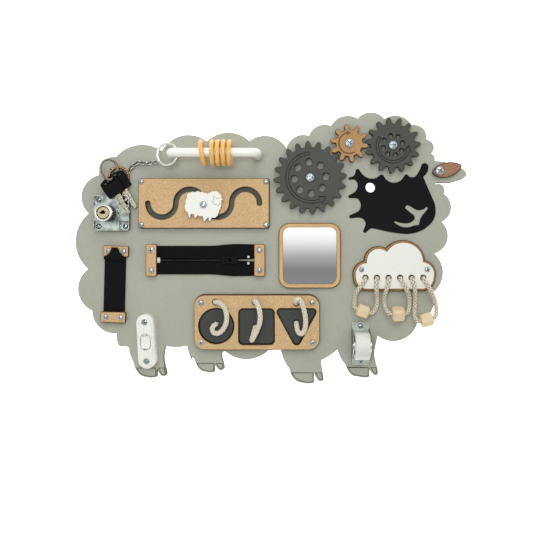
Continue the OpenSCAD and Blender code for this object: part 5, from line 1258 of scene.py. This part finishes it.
# ---- Lock: a barrel with five ribs, a plug with its keyhole, and rims round the corner screws ----
RIM_Z = 32.2        # the barrel is bright above this height, with painted shade on its side below
ribs = [(r, 15.5 + 3 * n + z) for n in range(5)
        for r, z in ((9.0, -0.25), (9.35, 0), (9.35, 1.6), (9.0, 1.85))]
wall = rounded_profile([(7.5, 14.5), (9.0, 14.5), *ribs, (9.0, 31.3), (9.5, 31.5), (9.5, 35.4),
                        (7.5, 35.5), (7.3, 34.8), (7.3, 14.5), (7.5, 14.5)], 0.5, 4)
barrel = skin("lock_barrel_looks", (turned(wall[:-1], round_angles(72)) + (*BARREL, 0)) * MM,
              round_i=True, sharp=50)
# The side below the rim takes painted shade instead of the plated finish
second_finish(fit(barrel, turned_nickel, "lock_barrel"), barrel_side_shade,
              lambda point: point.z < RIM_Z * MM)
keyhole = smooth_path([(-4.3, 0.1, 0), (-2.6, 1.0, 0), (-1.2, 2.6, 0), (0.6, 2.9, 0), (2.2, 1.4, 0),
                       (2.6, 0, 0), (2.4, -1.1, 0), (0.5, -1.2, 0), (-2.2, -1.1, 0),
                       (-3.6, -0.6, 0)], 48, closed=True)[:, :2]
# The keyhole's walls and floor are painted shade
cut("keyed_plug", [circle(*BARREL, 6.6)], 13.5, 34.9, pale_brass, "lock_plug", 0.4,
    grooves=[([keyhole + BARREL], 3.5)])
bend = np.stack([np.cos(quarter), np.sin(quarter)], -1)
corner = np.concatenate([[(20.7, 9.4)], (16.7, 16.7) + 4 * bend, [(9.4, 20.7), (9.4, 19.5)],
                         (16.7, 16.7) + 2.8 * bend[::-1], [(19.5, 9.4)]])
rims = [plate(f"lock_rim_{n}", [corner * side + LOCK], 10, 14.4, 0.25)
        for n, side in enumerate(((1, 1), (-1, 1), (-1, -1), (1, -1)))]
fit(joined("lock_corner_rims", rims), lock_zinc, body="base", slot=slot_of_node["lock_case"])


# ---- Strap and zip ----
def layer(name, path, low, high, thick, side):
    """Flat strip with rounded edges, carried along a path from low(s) to high(s) across it.

    side is the unit vector across. run keeps each point's place along and across the strip in
    metres, for the weave. Gives the piece and its length.
    """
    path = np.asarray(path, float)
    low, high = (np.broadcast_to(w, len(path))[:, None] for w in (low, high))
    up = np.cross(side, unit(np.gradient(path, axis=0)))
    run = travelled(path)
    t = np.linspace(-1, 1, 13)
    lift = np.minimum(1, (1.0001 - abs(t)) * 12) ** 0.5 * thick / 2
    t, lift = np.concatenate([t, t[::-1]]), np.concatenate([lift, -lift])
    across = low + (t + 1) / 2 * (high - low)
    points = path[:, None] + across[..., None] * side + lift[:, None] * up[:, None]
    piece = skin(name, points, capped=True, sharp=60)
    place = np.zeros((across.size + 2, 3))
    place[:-2, 0] = np.repeat(run, len(t))
    place[:-2, 1] = across.ravel()
    mark(piece, "run", place)
    return piece, run[-1]


STRAP_W = 24.4
low_path = [on_strap(y, 8.74) for y in np.linspace(-45, 43, 60)]
lower, length = layer("strap_lower_layer", low_path, -STRAP_W / 2 * MM, STRAP_W / 2 * MM, 1.4 * MM,
                      strap_side)
fit(lower, webbing, "strap_base")

# The loose layer's side view, (along, height), and how far it reaches to its left and right
fine = smooth_path([(0, -45, 10.28), (0, -38, 10.3), (0, -31, 10.5), (0, -28, 10.55),
                    (0, 24.6, 10.55), (0, 28.8, 13.8), (0, 31, 14.5), (0, 42.3, 14.55)], 110)
high_path = np.array([on_strap(y, z) for _, y, z in fine])
left_w = np.interp(fine[:, 1], (31.2, 32, 36, 42.4), (12.2, 11.6, 5, 3.6)) * MM
right_w = np.interp(fine[:, 1], (31.2, 36.4, 42.4), (12.2, 6.4, 3.6)) * MM
upper, length = layer("strap_loose_layer", high_path, -left_w, right_w, 1.35 * MM, strap_side)
upper.data.materials.append(webbing)
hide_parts("strap_flap")
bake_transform(upper)

x = np.linspace(-143.5, -9.1, 90)
inner = np.interp(x, (-144, OPEN_X, -28.8, -21.8, -9), (0.7, 0.7, 0.9, 1.4, 1.1))
outer = 16.5 + 2.2 * np.interp(x, (-72.6, -62.6, -52.6, -43.6, -27.8, -8.9),
                               (0, 0.2, 0.7, 1, 0.9, 0.6))
path = np.stack(np.broadcast_arrays(x, ZIP_Y, 10.0), -1) * MM
for name, low, high in (("zip_tape_upper", inner, outer), ("zip_tape_lower", -outer, -inner)):
    tape, length = layer(name, path, low * MM, high * MM, 0.76 * MM, (0, 1, 0))
    fit(tape, zip_cloth, "zip_tapes")
for n, x0 in enumerate((-143.5, -18.8), 1):
    path = np.linspace((x0, ZIP_Y, 8.8), (x0 + 10.4, ZIP_Y, 8.8), 12) * MM
    pack, length = layer(f"zip_packing_{n}", path, -16.4 * MM, 16.4 * MM, 1.55 * MM, (0, 1, 0))
    fit(pack, zip_cloth, body="base", slot=slot_of_node["zip_tapes"])


def coil(name, line):
    """Row of zip teeth: a flattened helix round a line, one turn to each tooth."""
    pitch, wire, half_wide, half_high = 1.5 * MM, 0.52 * MM, 0.94 * MM, 0.315 * MM
    run = travelled(line)
    turns = int(run[-1] / pitch)
    s = np.linspace(0, turns, turns * 10 + 1)
    at = np.stack([np.interp(s * pitch, run, line[:, k]) for k in range(3)], -1)
    at[:, 1] += half_wide * np.cos(2 * np.pi * s)
    at[:, 2] += half_high * np.sin(2 * np.pi * s)
    return tube(name, at, oval(wire / 2, sides=6))


teeth = [coil(f"coil_{way}", np.array([(x, ZIP_Y + way * y, 11.0) for x, y in (
    (-128.1, 1.0), (OPEN_X, 1.0), (-36, 2.0), (-29, 3.4))]) * MM) for way in (1, -1)]
fit(joined("nylon_coils", teeth), zip_black, "zip_teeth")


def lozenge(name, low, high):
    """Block with rounded edges: its outline and its side view are superellipses of power 6."""
    low, high = np.array(low) * MM, np.array(high) * MM
    t = np.linspace(-0.97, 0.97, 11)[:, None] * np.pi / 2
    z, r = np.sign(t) * abs(np.sin(t)) ** (1 / 3), np.cos(t) ** (1 / 3)
    c = oval(1.0, sides=32, power=6.0)
    points = np.stack(np.broadcast_arrays(r * c[:, 0], r * c[:, 1], z), -1) * (high - low) / 2
    return skin(name, points + (low + high) / 2, capped=True, sharp=60)


stops = [lozenge("stop_0", (-132.1, ZIP_Y - 3, 10.4), (-128.3, ZIP_Y + 3, 12.0)),
         lozenge("stop_1", (-27.9, ZIP_Y - 5.0, 10.4), (-25.3, ZIP_Y - 2.4, 11.9)),
         lozenge("stop_2", (-27.9, ZIP_Y + 2.4, 10.4), (-25.3, ZIP_Y + 5.0, 11.9))]
fit(joined("zip_stops", stops), stop_metal, body="base", slot=slot_of_node["zip_teeth"])

# ---- Wheel: a tyre with a recess in each side, turned about z and then laid with its axis along x ----
tyre = rounded_profile([(2.1, -8.4), (4.6, -8.4), (4.6, -7.6), (11.6, -7.6), (12.4, -8.1),
                        (14.8, -8.1), (15.5, -7.2), (15.5, 7.2), (14.8, 8.1), (12.4, 8.1),
                        (11.6, 7.6), (4.6, 7.6), (4.6, 8.4), (2.1, 8.4), (2.1, -8.4)], 0.4, 5)
round_x = np.roll(turned(tyre[:-1], round_angles(96)), 1, -1) + (102.8, -110.6, 26.7)
fit(skin("caster_wheel_looks", round_x * MM, round_i=True, sharp=50), wheel_nylon, "caster_wheel")
